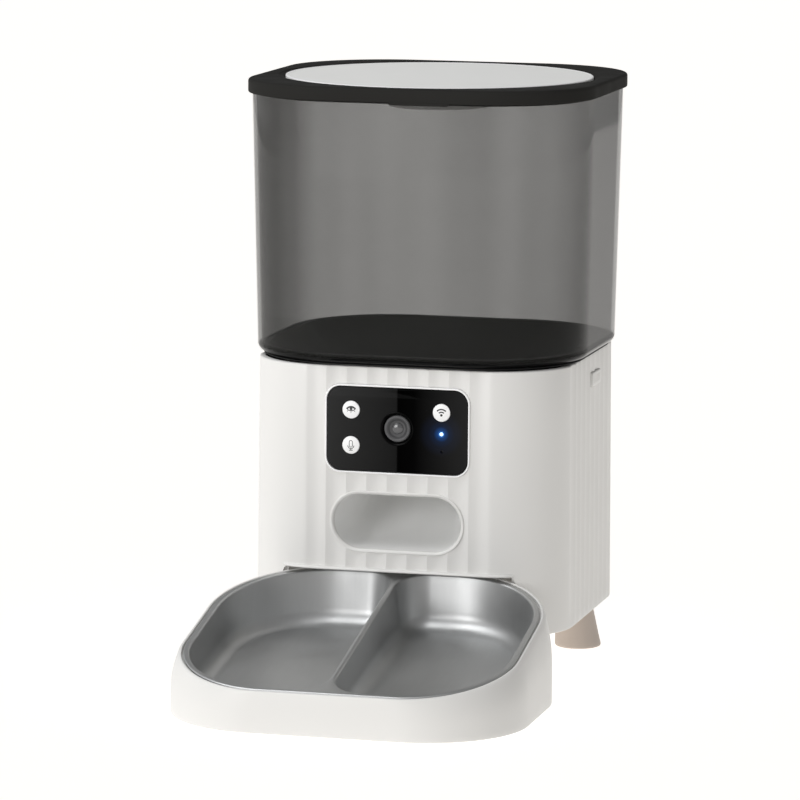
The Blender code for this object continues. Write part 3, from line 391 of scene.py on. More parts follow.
def reach(angle, half, corner):
    """Distance from the centre of a rounded rectangle to its edge, in one direction."""
    c, s = abs(math.cos(angle)), abs(math.sin(angle))
    flat_x, flat_y = half[0] - corner, half[1] - corner
    if s * half[0] <= flat_y * c:
        return half[0] / c
    if c * half[1] <= flat_x * s:
        return half[1] / s
    along = c * flat_x + s * flat_y
    return along + math.sqrt(along * along - flat_x * flat_x - flat_y * flat_y + corner * corner)


def ring(half, corner, amount, z, count=TURN):
    """A rounded rectangle, moved in by amount, sampled at even angles."""
    points = []
    for i in range(count):
        angle = 2 * math.pi * (i + 0.5) / count
        r = reach(angle, (half[0] - amount, half[1] - amount), corner - amount)
        points.append(Vector((r * math.cos(angle), r * math.sin(angle), z)))
    return points


def round_ring(radius, z, count=TURN):
    """A circle, sampled at the same angles as ring()."""
    angles = [2 * math.pi * (i + 0.5) / count for i in range(count)]
    return [Vector((radius * math.cos(angle), radius * math.sin(angle), z)) for angle in angles]


def outline(x_range, y_range, corners, steps=24):
    """Counter-clockwise rounded rectangle; corners run front right, rear right, rear left, front left."""
    (x0, x1), (y0, y1) = x_range, y_range
    places = ((x1, y0, -1, 1), (x1, y1, -1, -1), (x0, y1, 1, -1), (x0, y0, 1, 1))
    points = []
    for quarter, ((x, y, sx, sy), radius) in enumerate(zip(places, corners)):
        for step in range(steps + 1):
            angle = math.radians(90 * (quarter - 1 + step / steps))
            points.append((x + radius * (sx + math.cos(angle)), y + radius * (sy + math.sin(angle))))
    return points


def inset_outline(x_range, y_range, corners, amount, steps=24):
    """The same outline moved in by amount, or out where it's negative."""
    return outline((x_range[0] + amount, x_range[1] - amount), (y_range[0] + amount, y_range[1] - amount),
                   [corner - amount for corner in corners], steps)


def centred_outline(half, corner, steps=24):
    """A rounded rectangle round the origin."""
    return outline((-half[0], half[0]), (-half[1], half[1]), (corner,) * 4, steps)


def upright(points, y, centre_z=0):
    """An (x, z) outline stood up at a depth."""
    return [Vector((x, y, centre_z + z)) for x, z in points]


def sideways(points, x):
    """A (y, z) outline stood up at a distance to the side."""
    return [Vector((x, y, z)) for y, z in points]


def quarter_turn(steps):
    """Angles from 0 to 90 degrees."""
    return [math.pi / 2 * i / steps for i in range(steps + 1)]


def arc_points(centre, radius, start, end, steps=16):
    """Points on an arc, with its angles in degrees."""
    angles = [math.radians(start + (end - start) * i / steps) for i in range(steps + 1)]
    return [(centre[0] + radius * math.cos(angle), centre[1] + radius * math.sin(angle)) for angle in angles]


def object_of(name, work):
    """The finished bmesh as an object of the scene."""
    bmesh.ops.recalc_face_normals(work, faces=work.faces)
    mesh = bpy.data.meshes.new(name)
    work.to_mesh(mesh)
    work.free()
    made = bpy.data.objects.new(name, mesh)
    bpy.context.scene.collection.objects.link(made)
    return made


def bridge(work, first, second):
    """A closed band of faces between two loops of equal length."""
    for i in range(len(first)):
        j = (i + 1) % len(first)
        work.faces.new((first[i], first[j], second[j], second[i]))


def skin(name, rings, closed=False):
    """An object skinned over rings of equal length in the drawing frame: capped, or closed end to end."""
    work = bmesh.new()
    loops = [[work.verts.new(place(point)) for point in loop] for loop in rings]
    pairs = list(zip(loops, loops[1:]))
    if closed:
        pairs.append((loops[-1], loops[0]))
    else:
        work.faces.new(loops[0])
        work.faces.new(loops[-1])
    for low, high in pairs:
        bridge(work, low, high)
    bmesh.ops.remove_doubles(work, verts=work.verts, dist=1e-7)
    return object_of(name, work)


def turned(name, profile, centre=(0, 0, 0), axis="Z", count=96, closed=False):
    """A (radius, height) profile turned about an upright (Z) or a front to back (Y) axis through centre."""
    rings = []
    for radius, height in profile:
        points = round_ring(radius, height, count)
        if axis == "Y":
            points = [Vector((point.x, point.z, point.y)) for point in points]
        rings.append([point + Vector(centre) for point in points])
    return skin(name, rings, closed)


def boolean(target, tools, operation):
    """Join the tools to the target, or cut them out of it, and delete them."""
    for tool in tools:
        step = target.modifiers.new("step", "BOOLEAN")
        step.operation = operation
        step.solver = "EXACT"
        step.object = tool
    graph = bpy.context.evaluated_depsgraph_get()
    result = bpy.data.meshes.new_from_object(target.evaluated_get(graph))
    target.modifiers.clear()
    target.data = result
    result.name = target.name
    for tool in tools:
        bpy.data.objects.remove(tool)


def finish_piece(piece, material, body, nodes=(), sharp=40):
    """Shade, colour and hang one piece, and hide the nodes it stands for."""
    piece.data.materials.clear()
    piece.data.materials.append(material)
    piece.data.shade_smooth()
    piece.data.set_sharp_from_angle(angle=math.radians(sharp))
    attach(piece, body)
    if nodes:
        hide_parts(*nodes)


# ---- lid ----

def lid(materials):
    """The black frame with its front tab and groove, and the white insert with its bright rim."""
    edge, top = LID_EDGE_Z, LID_TOP_Z
    profile = [(1.6, LID_PLATE_Z), (1.5, edge + 0.6), (1.2, edge + 0.15), (0.8, edge), (0.35, edge + 0.1),
               (0.05, edge + 0.5), (0.0, edge + 1.2), (0.0, top - 2.2)]
    profile += [(1.6 - x, z) for x, z in arc_points((0, top - 1.6), 1.6, 0, 90, 6)]
    rings = [ring(LID_HALF, LID_CORNER, amount, z) for amount, z in profile]
    groove = [(DISC_RADIUS + 4.2, top), (DISC_RADIUS + 3.9, top - 0.12), (DISC_RADIUS + 3.6, top - 0.5),
              (DISC_RADIUS + 1.0, top - 1.3), (DISC_RADIUS + 0.6, top - 1.7),
              (DISC_RADIUS + 0.5, DISC_MIN.z - 0.3)]
    rings += [round_ring(radius, z) for radius, z in groove]
    body = skin("lid_rim", rings)
    tab_front = LID_MIN.y + 0.25
    tab_outline = outline(TAB_X, (0, TAB_HEIGHT), (0.7,) * 4, 4)
    tab = skin("tab", [upright(tab_outline, y, LID_MIN.z) for y in (tab_front, tab_front + 0.9)])
    boolean(body, [tab], "UNION")
    finish_piece(body, materials["lid"], "lid", ["lid_frame"], 32)

    low, high, inner = DISC_MIN.z, DISC_MAX.z, DISC_RADIUS - DISC_RIM
    rim = [(inner, low), (DISC_RADIUS - 0.6, low), (DISC_RADIUS, low + 0.5), (DISC_RADIUS, high - 0.7)]
    rim += arc_points((DISC_RADIUS - 0.7, high - 0.7), 0.7, 0, 90, 6)[1:]
    rim += [(inner + 0.1, high), (inner, high - 0.1)]
    bright_rim = turned("lid_insert_rim", rim, count=TURN, closed=True)
    finish_piece(bright_rim, materials["icon_white"], "lid", (), 32)
    face = [(inner, low), (inner, high - 0.2)] + [(radius, high - 0.12) for radius in (inner - 0.1, 40, 2)]
    insert = turned("lid_insert", face, count=TURN)
    finish_piece(insert, materials["disc"], "lid", ["lid_disc"], 32)


# ---- hopper ----

def hopper_half(z):
    """Half the hopper's width and depth at a height."""
    share = (z - HOPPER_MIN.z) / (HOPPER_MAX.z - HOPPER_MIN.z)
    return [low + (top - low) * share for low, top in zip(HOPPER_LOW_HALF, HOPPER_TOP_HALF)]


def hopper(materials):
    """The see-through tank with its turned-in bottom edge, and the seal under it."""
    low, top = HOPPER_MIN.z, HOPPER_MAX.z
    lip, wall, foot, inner = HOPPER_LIP, HOPPER_WALL, HOPPER_FOOT_RADIUS, HOPPER_FOOT_INSIDE
    outside = [(lip, low)]
    outside += [(foot - foot * math.sin(a), low + foot * (1 - math.cos(a))) for a in quarter_turn(8)]
    rim = [(0.0, top - 60), (0.0, top - 0.5), (0.15, top - 0.15), (0.5, top), (wall - 0.5, top),
           (wall - 0.15, top - 0.15), (wall, top - 0.5), (wall, top - 60)]
    inside = [(wall + inner * (1 - math.cos(a)), low + foot - inner * math.sin(a)) for a in quarter_turn(6)]
    inside.append((lip, low + 2.0))
    rings = [ring(hopper_half(z), HOPPER_CORNER, amount, z) for amount, z in outside + rim + inside]
    tank = skin("hopper_tank", rings, closed=True)
    finish_piece(tank, materials["smoke"], "hopper", ["hopper_wall"])

    seal_z = middle("hopper_seal")[1]
    angles = [math.pi * 2 * i / 12 for i in range(12)]
    section = [(4.9 + 1.5 * math.cos(a), seal_z + 0.55 * math.sin(a)) for a in angles]
    rings = [ring(hopper_half(low), HOPPER_CORNER, amount, z) for amount, z in section]
    gasket = skin("hopper_gasket", rings, closed=True)
    finish_piece(gasket, materials["rubber"], "hopper", ["hopper_seal"], 80)


def funnel_ring(share, drop):
    """The funnel's slope: the hopper's outline at the top, a circle at the neck."""
    wide = ring(hopper_half(FUNNEL_MAX.z), HOPPER_CORNER, FUNNEL_INSET, 0)
    neck = round_ring(NECK_RADIUS, 0)
    eased = share ** 1.15
    z = FUNNEL_MAX.z + (FUNNEL_MIN.z + 3 - FUNNEL_MAX.z) * share - drop
    return [Vector((a.x + (b.x - a.x) * eased, a.y + (b.y - a.y) * eased, z)) for a, b in zip(wide, neck)]


def funnel(materials):
    """The hopper's sloped floor, from its rim in the tank to its round neck."""
    top, low, wall = FUNNEL_MAX.z, FUNNEL_MIN.z, FUNNEL_WALL
    outer = NECK_RADIUS + wall
    shares = [i / 12 for i in range(13)]
    rings = [ring(hopper_half(top), HOPPER_CORNER, HOPPER_WALL + wall, top)]
    rings += [funnel_ring(share, 0) for share in shares]
    rings += [round_ring(NECK_RADIUS, low), round_ring(outer, low), round_ring(outer, low + 1)]
    rings += [funnel_ring(share, wall) for share in reversed(shares[:-2])]
    rings += [ring(hopper_half(top), HOPPER_CORNER, HOPPER_WALL + wall, top - wall)]
    floor = skin("funnel_floor", rings, closed=True)
    finish_piece(floor, materials["funnel"], "hopper", ["hopper_funnel"])


# ---- body ----

def side_station(along, run, out, flute):
    """A point on one side of the body, which carries on round the corner, sunk by flute."""
    corner = min(BODY_CORNER, run, out)
    straight = run - corner
    angle = max(0.0, abs(along) - straight) / corner
    sign = math.copysign(1.0, along)
    x = sign * (min(abs(along), straight) + corner * math.sin(angle))
    y = -(out - corner * (1 - math.cos(angle)))
    return x - sign * math.sin(angle) * flute, y + math.cos(angle) * flute


def body_ring(half, depth, z):
    """The fluted outline: scallops on each side and plain round corners."""
    half_reach = FLUTES * FLUTE_PITCH / 2
    points = []
    for turn in range(4):
        run, out = half if turn % 2 == 0 else half[::-1]
        stations = []
        for i in range(FLUTES * FLUTE_STEPS + 1):
            dip = depth * math.sin(math.pi * (i % FLUTE_STEPS) / FLUTE_STEPS)
            stations.append((-half_reach + i * FLUTE_PITCH / FLUTE_STEPS, dip))
        corner_end = run - BODY_CORNER + BODY_CORNER * math.pi / 2 - (half_reach - out + BODY_CORNER)
        for i in range(1, CORNER_STEPS):
            stations.append((half_reach + (corner_end - half_reach) * i / CORNER_STEPS, 0.0))
        for along, dip in stations:
            x, y = side_station(along, run, out, dip)
            for _ in range(turn):
                x, y = -y, x
            points.append(Vector((x, y, z)))
    return points


def body_half(z, amount=0.0):
    """Half the body's width and depth at a height, moved in by amount."""
    share = (z - BODY_LOW.z) / (BODY_HIGH.z - BODY_LOW.z)
    return tuple(low + (top - low) * share - amount for low, top in zip(BODY_HALF, BODY_TOP_HALF))


def front_y(z):
    """The depth of the body's front ridges at a height."""
    return -body_half(z)[1]


def wall_cutters():
    """The body's openings: panel, mouth, tray bay, release buttons, power inlet and speaker slots."""
    hole = BEZEL_OUT + 0.1
    panel_hole = centred_outline([side + hole for side in PANEL_HALF], PANEL_CORNER + hole, 16)
    mouth = centred_outline(CHUTE_HALF, CHUTE_HALF[1])
    bay = outline((-BAY_HALF_X, BAY_HALF_X), (20, BAY_TOP_Z), (0.5, 5, 5, 0.5), 8)
    cutters = [skin("cutter", [upright(points, y, z) for y in (-CUT_OUTSIDE, -CUT_INSIDE)])
               for points, z in ((panel_hole, PANEL_Z), (mouth, CHUTE_Z), (bay, 0))]
    for side, sign in (("right", 1), ("left", -1)):
        low, high = millimetres(f"release_button_{side}")
        inset = RELEASE_EDGE - RELEASE_GAP
        hole = inset_outline((low.y, high.y), (low.z, high.z), (1.7 + inset,) * 4, inset, 8)
        cutters.append(skin("cutter", [sideways(hole, sign * x) for x in (CUT_INSIDE, CUT_OUTSIDE)]))
    x, z = middle("power_socket")
    bore = ((SOCKET_HOLE, CUT_INSIDE), (SOCKET_HOLE, CUT_OUTSIDE))
    cutters.append(turned("cutter", bore, (x, 0, z), "Y", 40))
    centre_x, z = middle("speaker")
    for i in range(SPEAKER_SLOTS):
        x = centre_x + SLOT_PITCH * (i - SPEAKER_SLOTS // 2)
        slot = outline((x - SLOT_HALF[0], x + SLOT_HALF[0]), (z - SLOT_HALF[1], z + SLOT_HALF[1]),
                       (SLOT_HALF[0],) * 4, 6)
        cutters.append(skin("cutter", [upright(slot, y) for y in (CUT_INSIDE, CUT_OUTSIDE)]))
    return cutters


def body(materials):
    """The fluted shell; each ring has an inset, a height and a share of the flutes' depth."""
    low, top = BODY_LOW.z, BODY_HIGH.z
    outside = [(0.8, low, 0.0), (0.3, low + 0.12, 0.0), (0.05, low + 0.45, 0.05), (0.0, low + 0.9, 0.1),
               (0.0, low + 3, 0.45), (0.0, low + 6, 1.0), (0.0, 60, 1.0), (0.0, 105, 1.0), (0.0, 150, 1.0),
               (0.0, top - 1.3, 1.0), (0.12, top - 0.6, 1.0), (0.5, top - 0.15, 1.0), (1.1, top, 1.0)]
    rings = [body_ring(body_half(z, amount), FLUTE_DEPTH * share, z) for amount, z, share in outside]
    rings += [body_ring(body_half(z, BODY_WALL), 0, z) for z in (top, low)]
    shell = skin("body_case", rings, closed=True)
    boolean(shell, wall_cutters(), "DIFFERENCE")
    finish_piece(shell, materials["white"], "base", ["body_shell"], 22)


def swept_lip(name, half, corner, centre_z, section, steps=24):
    """A frame round an upright rounded rectangle; section is (offset outwards, depth y) points."""
    rings = [upright(centred_outline([side + offset for side in half], corner + offset, steps), y, centre_z)
             for offset, y in section]
    return skin(name, rings, closed=True)


def chute_ring(share, grow, steps=14):
    """One section of the duct, which turns from facing down at the rotor to facing the front."""
    rest = 1 - share
    weights = (rest ** 3, 3 * rest ** 2 * share, 3 * rest * share ** 2, share ** 3)
    path = (DUCT_ENDS[0], *DUCT_BENDS, DUCT_ENDS[1])
    centre_y = sum(weight * point[0] for weight, point in zip(weights, path))
    centre_z = sum(weight * point[1] for weight, point in zip(weights, path))
    angle = math.radians(90 * share)
    half = [top + (mouth - top) * share + grow for top, mouth in zip(DUCT_TOP_HALF, CHUTE_HALF)]
    corner = DUCT_TOP_CORNER + (CHUTE_HALF[1] - DUCT_TOP_CORNER) * share + grow
    return [Vector((x, centre_y - v * math.cos(angle), centre_z + v * math.sin(angle)))
            for x, v in centred_outline(half, corner, steps)]


def chute(materials):
    """The duct and the rounded edge of its mouth."""
    shares = [i / 16 for i in range(17)]
    rings = [chute_ring(share, CHUTE_WALL) for share in shares]
    rings += [chute_ring(share, 0) for share in reversed(shares)]
    duct = skin("feed_chute", rings, closed=True)
    finish_piece(duct, materials["chute"], "base", ["chute"])

    face = front_y(CHUTE_Z)
    section = ((1.3, 1.3), (1.3, 0.2), (1.0, -0.15), (0.5, -0.2), (0.0, -0.02), (-0.5, 0.4), (-0.8, 1.1),
               (-0.8, 2.8), (0.4, 2.8), (0.4, 1.3))
    section = [(offset, face + depth) for offset, depth in section]
    lip = swept_lip("chute_lip", CHUTE_HALF, CHUTE_HALF[1], CHUTE_Z, section, 32)
    finish_piece(lip, materials["white"], "base", ())


def body_wall_y(x, z):
    """Where the body's front outline lies at a distance from its middle."""
    half = body_half(z)
    straight = half[0] - BODY_CORNER
    past = max(0.0, abs(x) - straight)
    return -(half[1] - BODY_CORNER) - math.sqrt(BODY_CORNER ** 2 - past ** 2)


def visor(materials):
    """The lip over the tray's bay, which follows the body's front and rounds off at its ends."""
    low, high = VISOR_Z
    stations = 49
    rings = []
    for i in range(stations):
        x = VISOR_HALF_X * (2 * i / (stations - 1) - 1)
        wall_y = body_wall_y(x, BAY_TOP_Z)
        near_end = max(0.0, (abs(x) - VISOR_HALF_X + VISOR_END) / VISOR_END)
        front = wall_y - 0.3 - VISOR_REACH * math.sqrt(max(0.0, 1 - near_end ** 2))
        rings.append([Vector((x, wall_y + 1.6, low)), Vector((x, front + 0.5, low)),
                      Vector((x, front, low + 0.5)), Vector((x, front + 0.15, high - 0.6)),
                      Vector((x, front + 0.9, high)), Vector((x, wall_y + 1.6, high))])
    finish_piece(skin("bay_visor", rings), materials["white"], "base", ())


def feet(materials):
    """Four round feet that splay outwards and narrow towards the body."""
    for name in ("foot_rear_right", "foot_rear_left", "foot_front_right", "foot_front_left"):
        low, high = millimetres(name)
        sign = 1 if low.x > 0 else -1
        radius = (high.y - low.y) / 2
        centre = Vector((high.x - radius if sign > 0 else low.x + radius, (low.y + high.y) / 2, 0))
        profile = [(radius - 2.6, 0.0), (radius - 1.0, 0.05), (radius - 0.35, 0.35), (radius, 1.1),
                   (radius, 1.9)]
        steps = 10
        for i in range(1, steps + 1):
            share = i / steps
            profile.append((radius - FOOT_TAPER * (1 - (1 - share) ** 1.25), 1.9 + (high.z - 1.9) * share))
        rings = []
        for r, z in profile:
            shift = Vector((-sign * FOOT_SPLAY * z / high.z, 0, 0))
            rings.append([p + centre + shift for p in round_ring(r, z, 72)])
        foot = skin(name.replace("foot", "splayed_foot"), rings)
        finish_piece(foot, materials["taupe"], "base", [name])


def release_buttons(materials):
    """A flanged button on each side, with upright grooves in its face."""
    edge = RELEASE_EDGE
    for side, sign in (("right", 1), ("left", -1)):
        name = f"release_button_{side}"
        low, high = millimetres(name)
        face_x = max(abs(low.x), abs(high.x))
        y_range, z_range = (low.y + edge, high.y - edge), (low.z + edge, high.z - edge)
        section = [(-edge, 2.4, 88.6), (-edge, 2.4, 90.8), (0.0, 1.4, 90.9), (0.0, 1.4, face_x - 0.7),
                   (0.2, 1.2, face_x - 0.2), (0.7, 0.7, face_x)]
        rings = []
        for amount, corner, x in section:
            points = inset_outline(y_range, z_range, (corner + amount,) * 4, amount, 8)
            rings.append(sideways(points, sign * x))
        button = skin(f"side_button_{side}", rings)
        z0, z1 = z_range[0] + 2, z_range[1] - 2
        ribs = []
        for i in range(RELEASE_RIBS):
            y = low.y + 5.5 + RIB_PITCH * i
            slot = ((y, z0), (y + RIB_WIDTH, z0), (y + RIB_WIDTH, z1), (y, z1))
            ribs.append(skin("rib", [sideways(slot, sign * x) for x in (face_x - 0.6, face_x + 1)]))
        boolean(button, ribs, "DIFFERENCE")
        finish_piece(button, materials["white"], name, [name], 30)


def release_springs(materials):
    """The coils behind the release buttons."""
    for side, sign in (("right", 1), ("left", -1)):
        name = f"release_spring_{side}"
        coil = bpy.data.objects.new(f"release_coil_{side}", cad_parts[name].data.copy())
        coil.matrix_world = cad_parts[name].matrix_world.copy()
        coil.data.materials.clear()
        bpy.context.scene.collection.objects.link(coil)
        finish_piece(coil, materials["hardware"], "base", [name], 50)
        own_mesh(coil)


# ---- panel ----

def panel_face(amount, y):
    """The glass's outline, moved in by amount."""
    points = centred_outline([side - amount for side in PANEL_HALF], PANEL_CORNER - amount)
    return upright(points, y, PANEL_Z)


def panel(materials):
    """The white frame, the black glass with its openings and the status light."""
    front = PANEL_FRONT
    section = [(BEZEL_OUT, front + 3), (BEZEL_OUT, front + 0.2), (BEZEL_OUT - 0.15, front - 0.05),
               (BEZEL_OUT - 0.4, front - 0.15), (BEZEL_IN + 0.25, front - 0.12), (BEZEL_IN + 0.05, front),
               (BEZEL_IN, front + 0.3), (BEZEL_IN, front + 3)]
    bezel = swept_lip("panel_frame", PANEL_HALF, PANEL_CORNER, PANEL_Z, section)
    finish_piece(bezel, materials["icon_white"], "base", ["panel_bezel"], 50)

    faces = ((0, PANEL_MAX.y), (0, front + 0.5), (0.15, front + 0.15), (0.5, front))
    glass = skin("panel_window", [panel_face(amount, y) for amount, y in faces])
    holes = [(SURROUND_RADIUS + HOLE_GAP, (0, LENS_Z)), (LAMP_HOLE, middle("status_led")),
             (MICROPHONE_HOLE, middle("microphone"))]
    holes += [(ICON_RADIUS + HOLE_GAP, middle(name)) for name in ICON_SHAPES]
    cutters = [turned("cutter", ((radius, front - 4), (radius, PANEL_MAX.y + 4)), (x, 0, z), "Y", 72)
               for radius, (x, z) in holes]
    boolean(glass, cutters, "DIFFERENCE")
    finish_piece(glass, materials["glass"], "base", ["panel_glass"], 30)

    x, z = middle("status_led")
    profile = ((1.1, 7), (1.1, 0.2), (0.9, -0.05), (0.5, -0.2), (0.05, -0.25))
    lamp = turned("status_lamp", profile, (x, front, z), "Y", 32)
    finish_piece(lamp, materials["lamp"], "base", ["status_led"])


def camera(materials):
    """The lens's surround, its barrel with a darker step, and the dome; depths are from the panel's front."""
    centre = (0, PANEL_FRONT, LENS_Z)
    profile = [(SURROUND_RADIUS, 3), (SURROUND_RADIUS, -0.05), (SURROUND_RADIUS - 0.3, -0.25),
               (SURROUND_RADIUS - 0.6, -0.1), (LENS_RADIUS + 0.5, 1.3), (LENS_RADIUS + 0.25, 3)]
    surround = turned("lens_surround", profile, centre, "Y", closed=True)
    finish_piece(surround, materials["lens_black"], "base", ["lens_ring"], 50)
    profile = [(LENS_RADIUS, 3), (LENS_RADIUS, 0.7), (LENS_RADIUS - 0.3, 0.45), (6.4, 0.4), (6.2, 0.55),
               (5.9, 1.0), (5.7, 1.1), (4.7, 1.15), (4.4, 1.5), (3.4, 1.7), (DOME_RADIUS, 3)]
    barrel = turned("lens_barrel", profile, centre, "Y", closed=True)
    finish_piece(barrel, materials["barrel"], "base", ["camera_lens"], 60)
    profile = [(5.85, 1.02), (5.6, 0.98), (4.8, 1.05), (4.55, 1.35), (4.9, 1.4), (5.8, 1.3)]
    step = turned("lens_inner_ring", profile, centre, "Y", closed=True)
    finish_piece(step, materials["barrel_dark"], "base", (), 60)
    profile = [(DOME_RADIUS, 2.6), (DOME_RADIUS, 1.6)]
    profile += [(DOME_RADIUS * math.cos(a), 1.6 - 0.9 * math.sin(a)) for a in quarter_turn(9)[1:-1]]
    profile.append((0.05, 0.7))
    dome = turned("lens_dome", profile, centre, "Y")
    finish_piece(dome, materials["lens"], "base", ())


def stroke(points, width):
    """A flat ribbon of constant width along a path of (x, z) points."""
    left, right = [], []
    for i, point in enumerate(points):
        ahead = Vector(points[min(i + 1, len(points) - 1)])
        behind = Vector(points[max(i - 1, 0)])
        along = (ahead - behind).normalized()
        across = Vector((-along.y, along.x)) * width / 2
        left.append(Vector(point) + across)
        right.append(Vector(point) - across)
    return left + right[::-1]


def disc_points(centre, radius, steps=24):
    """A full circle, with no point twice."""
    return arc_points(centre, radius, 0, 360, steps)[:-1]


def eye_shapes():
    """An upper lid, a lower lid with lashes and a round pupil."""
    shapes = [stroke(arc_points((0, -1.5), 3.2, 145, 35), 0.95),
              stroke(arc_points((0, 2.2), 2.9, 220, 320), 0.45), disc_points((0, 0.45), 0.85)]
    for angle in (235, 270, 305):
        start = arc_points((0, 2.2), 3.3, angle, angle, 1)[0]
        end = arc_points((0, 2.2), 4.0, angle, angle, 1)[0]
        shapes.append(stroke((start, end), 0.3))
    return shapes


def microphone_shapes():
    """A capsule in outline, its cradle, stem and foot."""
    capsule = arc_points((0, 1.7), 0.95, 0, 180) + arc_points((0, -0.3), 0.95, 180, 360) + [(0.95, 1.7)]
    return [stroke(capsule, 0.34), stroke(arc_points((0, -0.3), 1.8, 180, 360), 0.38),
            stroke(((0, -2.1), (0, -3.0)), 0.42), stroke(((-1.1, -3.0), (1.1, -3.0)), 0.42)]


def wifi_shapes():
    """Two arcs over a dot."""
    return [stroke(arc_points((0, -1.7), 3.7, 135, 45), 0.75),
            stroke(arc_points((0, -1.7), 2.1, 135, 45), 0.7), disc_points((0, -1.4), 0.72)]


ICON_SHAPES = {"eye_button": eye_shapes, "microphone_button": microphone_shapes, "wifi_button": wifi_shapes}


def icon_buttons(materials):
    """Round white caps on stems, each with its mark."""
    radius = ICON_RADIUS
    for name, shapes in ICON_SHAPES.items():
        low, high = millimetres(name)
        front = low.y
        x, z = middle(name)
        profile = [(2.2, high.y - front), (2.2, 3.6), (radius + 1.1, 3.5), (radius + 1.1, 2.5), (radius, 2.4),
                   (radius, 0.25), (radius - 0.1, 0.08), (radius - 0.3, 0)]
        cap = turned(name.replace("button", "cap"), profile, (x, front, z), "Y")
        finish_piece(cap, materials["icon_white"], name, [name])
        for index, shape in enumerate(shapes(), 1):
            rings = [[Vector((x + u, y, z + v)) for u, v in shape] for y in (front + 0.05, front - 0.04)]
            mark = skin(name.replace("button", f"mark_{index}"), rings)
            finish_piece(mark, materials["icon_ink"], name, ())


# ---- tray and bowl ----

def rim_z(y):
    """The tray's rim falls towards the front."""
    return RIM_REAR_Z + RIM_SLOPE * (y - RIM_Y[1])


def tray_ring(height, towards_rim, amount=0.0, drop=0.0):
    """The tray's outline at a share of the rim's height, blended from the foot outline to the rim outline."""
    foot = inset_outline((-TRAY_X, TRAY_X), (TRAY_MIN.y, TRAY_REAR), TRAY_CORNERS, amount)
    rim = inset_outline((-RIM_X, RIM_X), RIM_Y, RIM_CORNERS, amount)
    points = []
    for (a, b), (c, d) in zip(foot, rim):
        x, y = a + (c - a) * towards_rim, b + (d - b) * towards_rim
        points.append(Vector((x, y, rim_z(y) * height - drop)))
    return points


def tray(materials):
    """A solid-walled tub, upright at its foot and flared to its rim, with a ledge for the bowl."""
    rings = [[Vector((p.x, p.y, z)) for p in tray_ring(0, 0, amount)]
             for amount, z in ((1.6, 0.0), (0.7, 0.12), (0.2, 0.55), (0.0, 1.3))]
    steps = 16
    for i in range(steps + 1):
        height = 0.1 + 0.87 * i / steps
        rings.append(tray_ring(height, max(0.0, (height - 0.4) / 0.6) ** 2.2 * 0.92))
    rings += [tray_ring(0.99, 0.97), tray_ring(1.0, 1.0, 0.12, 0.12), tray_ring(1.0, 1.0, 0.4)]
    tub = skin("tray_tub", rings)
    pocket, ledge = POCKET_INSET, FLANGE_THICK + 0.3
    floor = [Vector((p.x, p.y, 2.2)) for p in tray_ring(0, 0, 3.4)]
    inside = skin("cutter", [floor, tray_ring(1, 1, pocket + 2.6, ledge), tray_ring(1, 1, pocket, ledge),
                             tray_ring(1, 1, pocket, 0.35), tray_ring(1, 1, pocket - 0.25, 0.0),
                             tray_ring(1, 1, pocket - 0.4, -3)])
    boolean(tub, [inside], "DIFFERENCE")
    finish_piece(tub, materials["white"], "tray", ["tray"], 30)


def cavity_outline(side, amount):
    """One basin's outline, moved in by amount; side is 1 on the right and -1 on the left."""
    bowl_x = RIM_X - BOWL_INSET - FLANGE_WIDTH
    y_range = (RIM_Y[0] + BOWL_INSET + FLANGE_WIDTH, RIM_Y[1] - BOWL_INSET - FLANGE_WIDTH)
    far, near = (RIM_CORNERS[0] - 6, RIM_CORNERS[1] - 6), DIVIDER_CORNER
    if side > 0:
        x_range, corners = (DIVIDER_HALF, bowl_x), (far[0], far[1], near, near)
    else:
        x_range, corners = (-bowl_x, -DIVIDER_HALF), (near, near, far[1], far[0])
    return inset_outline(x_range, y_range, corners, amount, 20)


def cavity_rings(side):
    """One basin from its rounded top edge to its flat floor."""
    top, bottom = CAVITY_TOP_RADIUS, CAVITY_FLOOR_RADIUS
    steps = 5
    spots = [(-1.2 + top * math.sin(a), 0.0, top * (1 - math.cos(a))) for a in quarter_turn(steps)]
    spots += [(0.1 + CAVITY_LEAN * i / steps, i / steps, top) for i in range(1, steps + 1)]
    spots += [(0.1 + CAVITY_LEAN + bottom * (1 - math.cos(a)), 1.0, top + bottom * math.sin(a))
              for a in quarter_turn(8)[1:]]
    rings = []
    for amount, down_wall, drop in spots:
        points = []
        for x, y in cavity_outline(side, amount):
            high = rim_z(y) + 0.2
            floor = BOWL_FLOOR_Z + BOWL_FLOOR_SLOPE * (y - RIM_Y[0])
            wall = max(0.0, high - floor - top - bottom)
            points.append(Vector((x, y, high - drop - wall * down_wall)))
        rings.append(points)
    return rings


def bowl_edge_ring(amount, lift):
    """The bowl's outline, moved in by amount, at a height above the tray's rim."""
    x_range = (-RIM_X + BOWL_INSET, RIM_X - BOWL_INSET)
    y_range = (RIM_Y[0] + BOWL_INSET, RIM_Y[1] - BOWL_INSET)
    corners = [corner - BOWL_INSET for corner in RIM_CORNERS]
    return [Vector((x, y, rim_z(y) + lift)) for x, y in inset_outline(x_range, y_range, corners, amount, 28)]


def add_rings(work, rings):
    """Add rings of points and the faces between them; returns the loops of vertices."""
    loops = [[work.verts.new(place(point)) for point in points] for points in rings]
    for first, second in zip(loops, loops[1:]):
        bridge(work, first, second)
    return loops


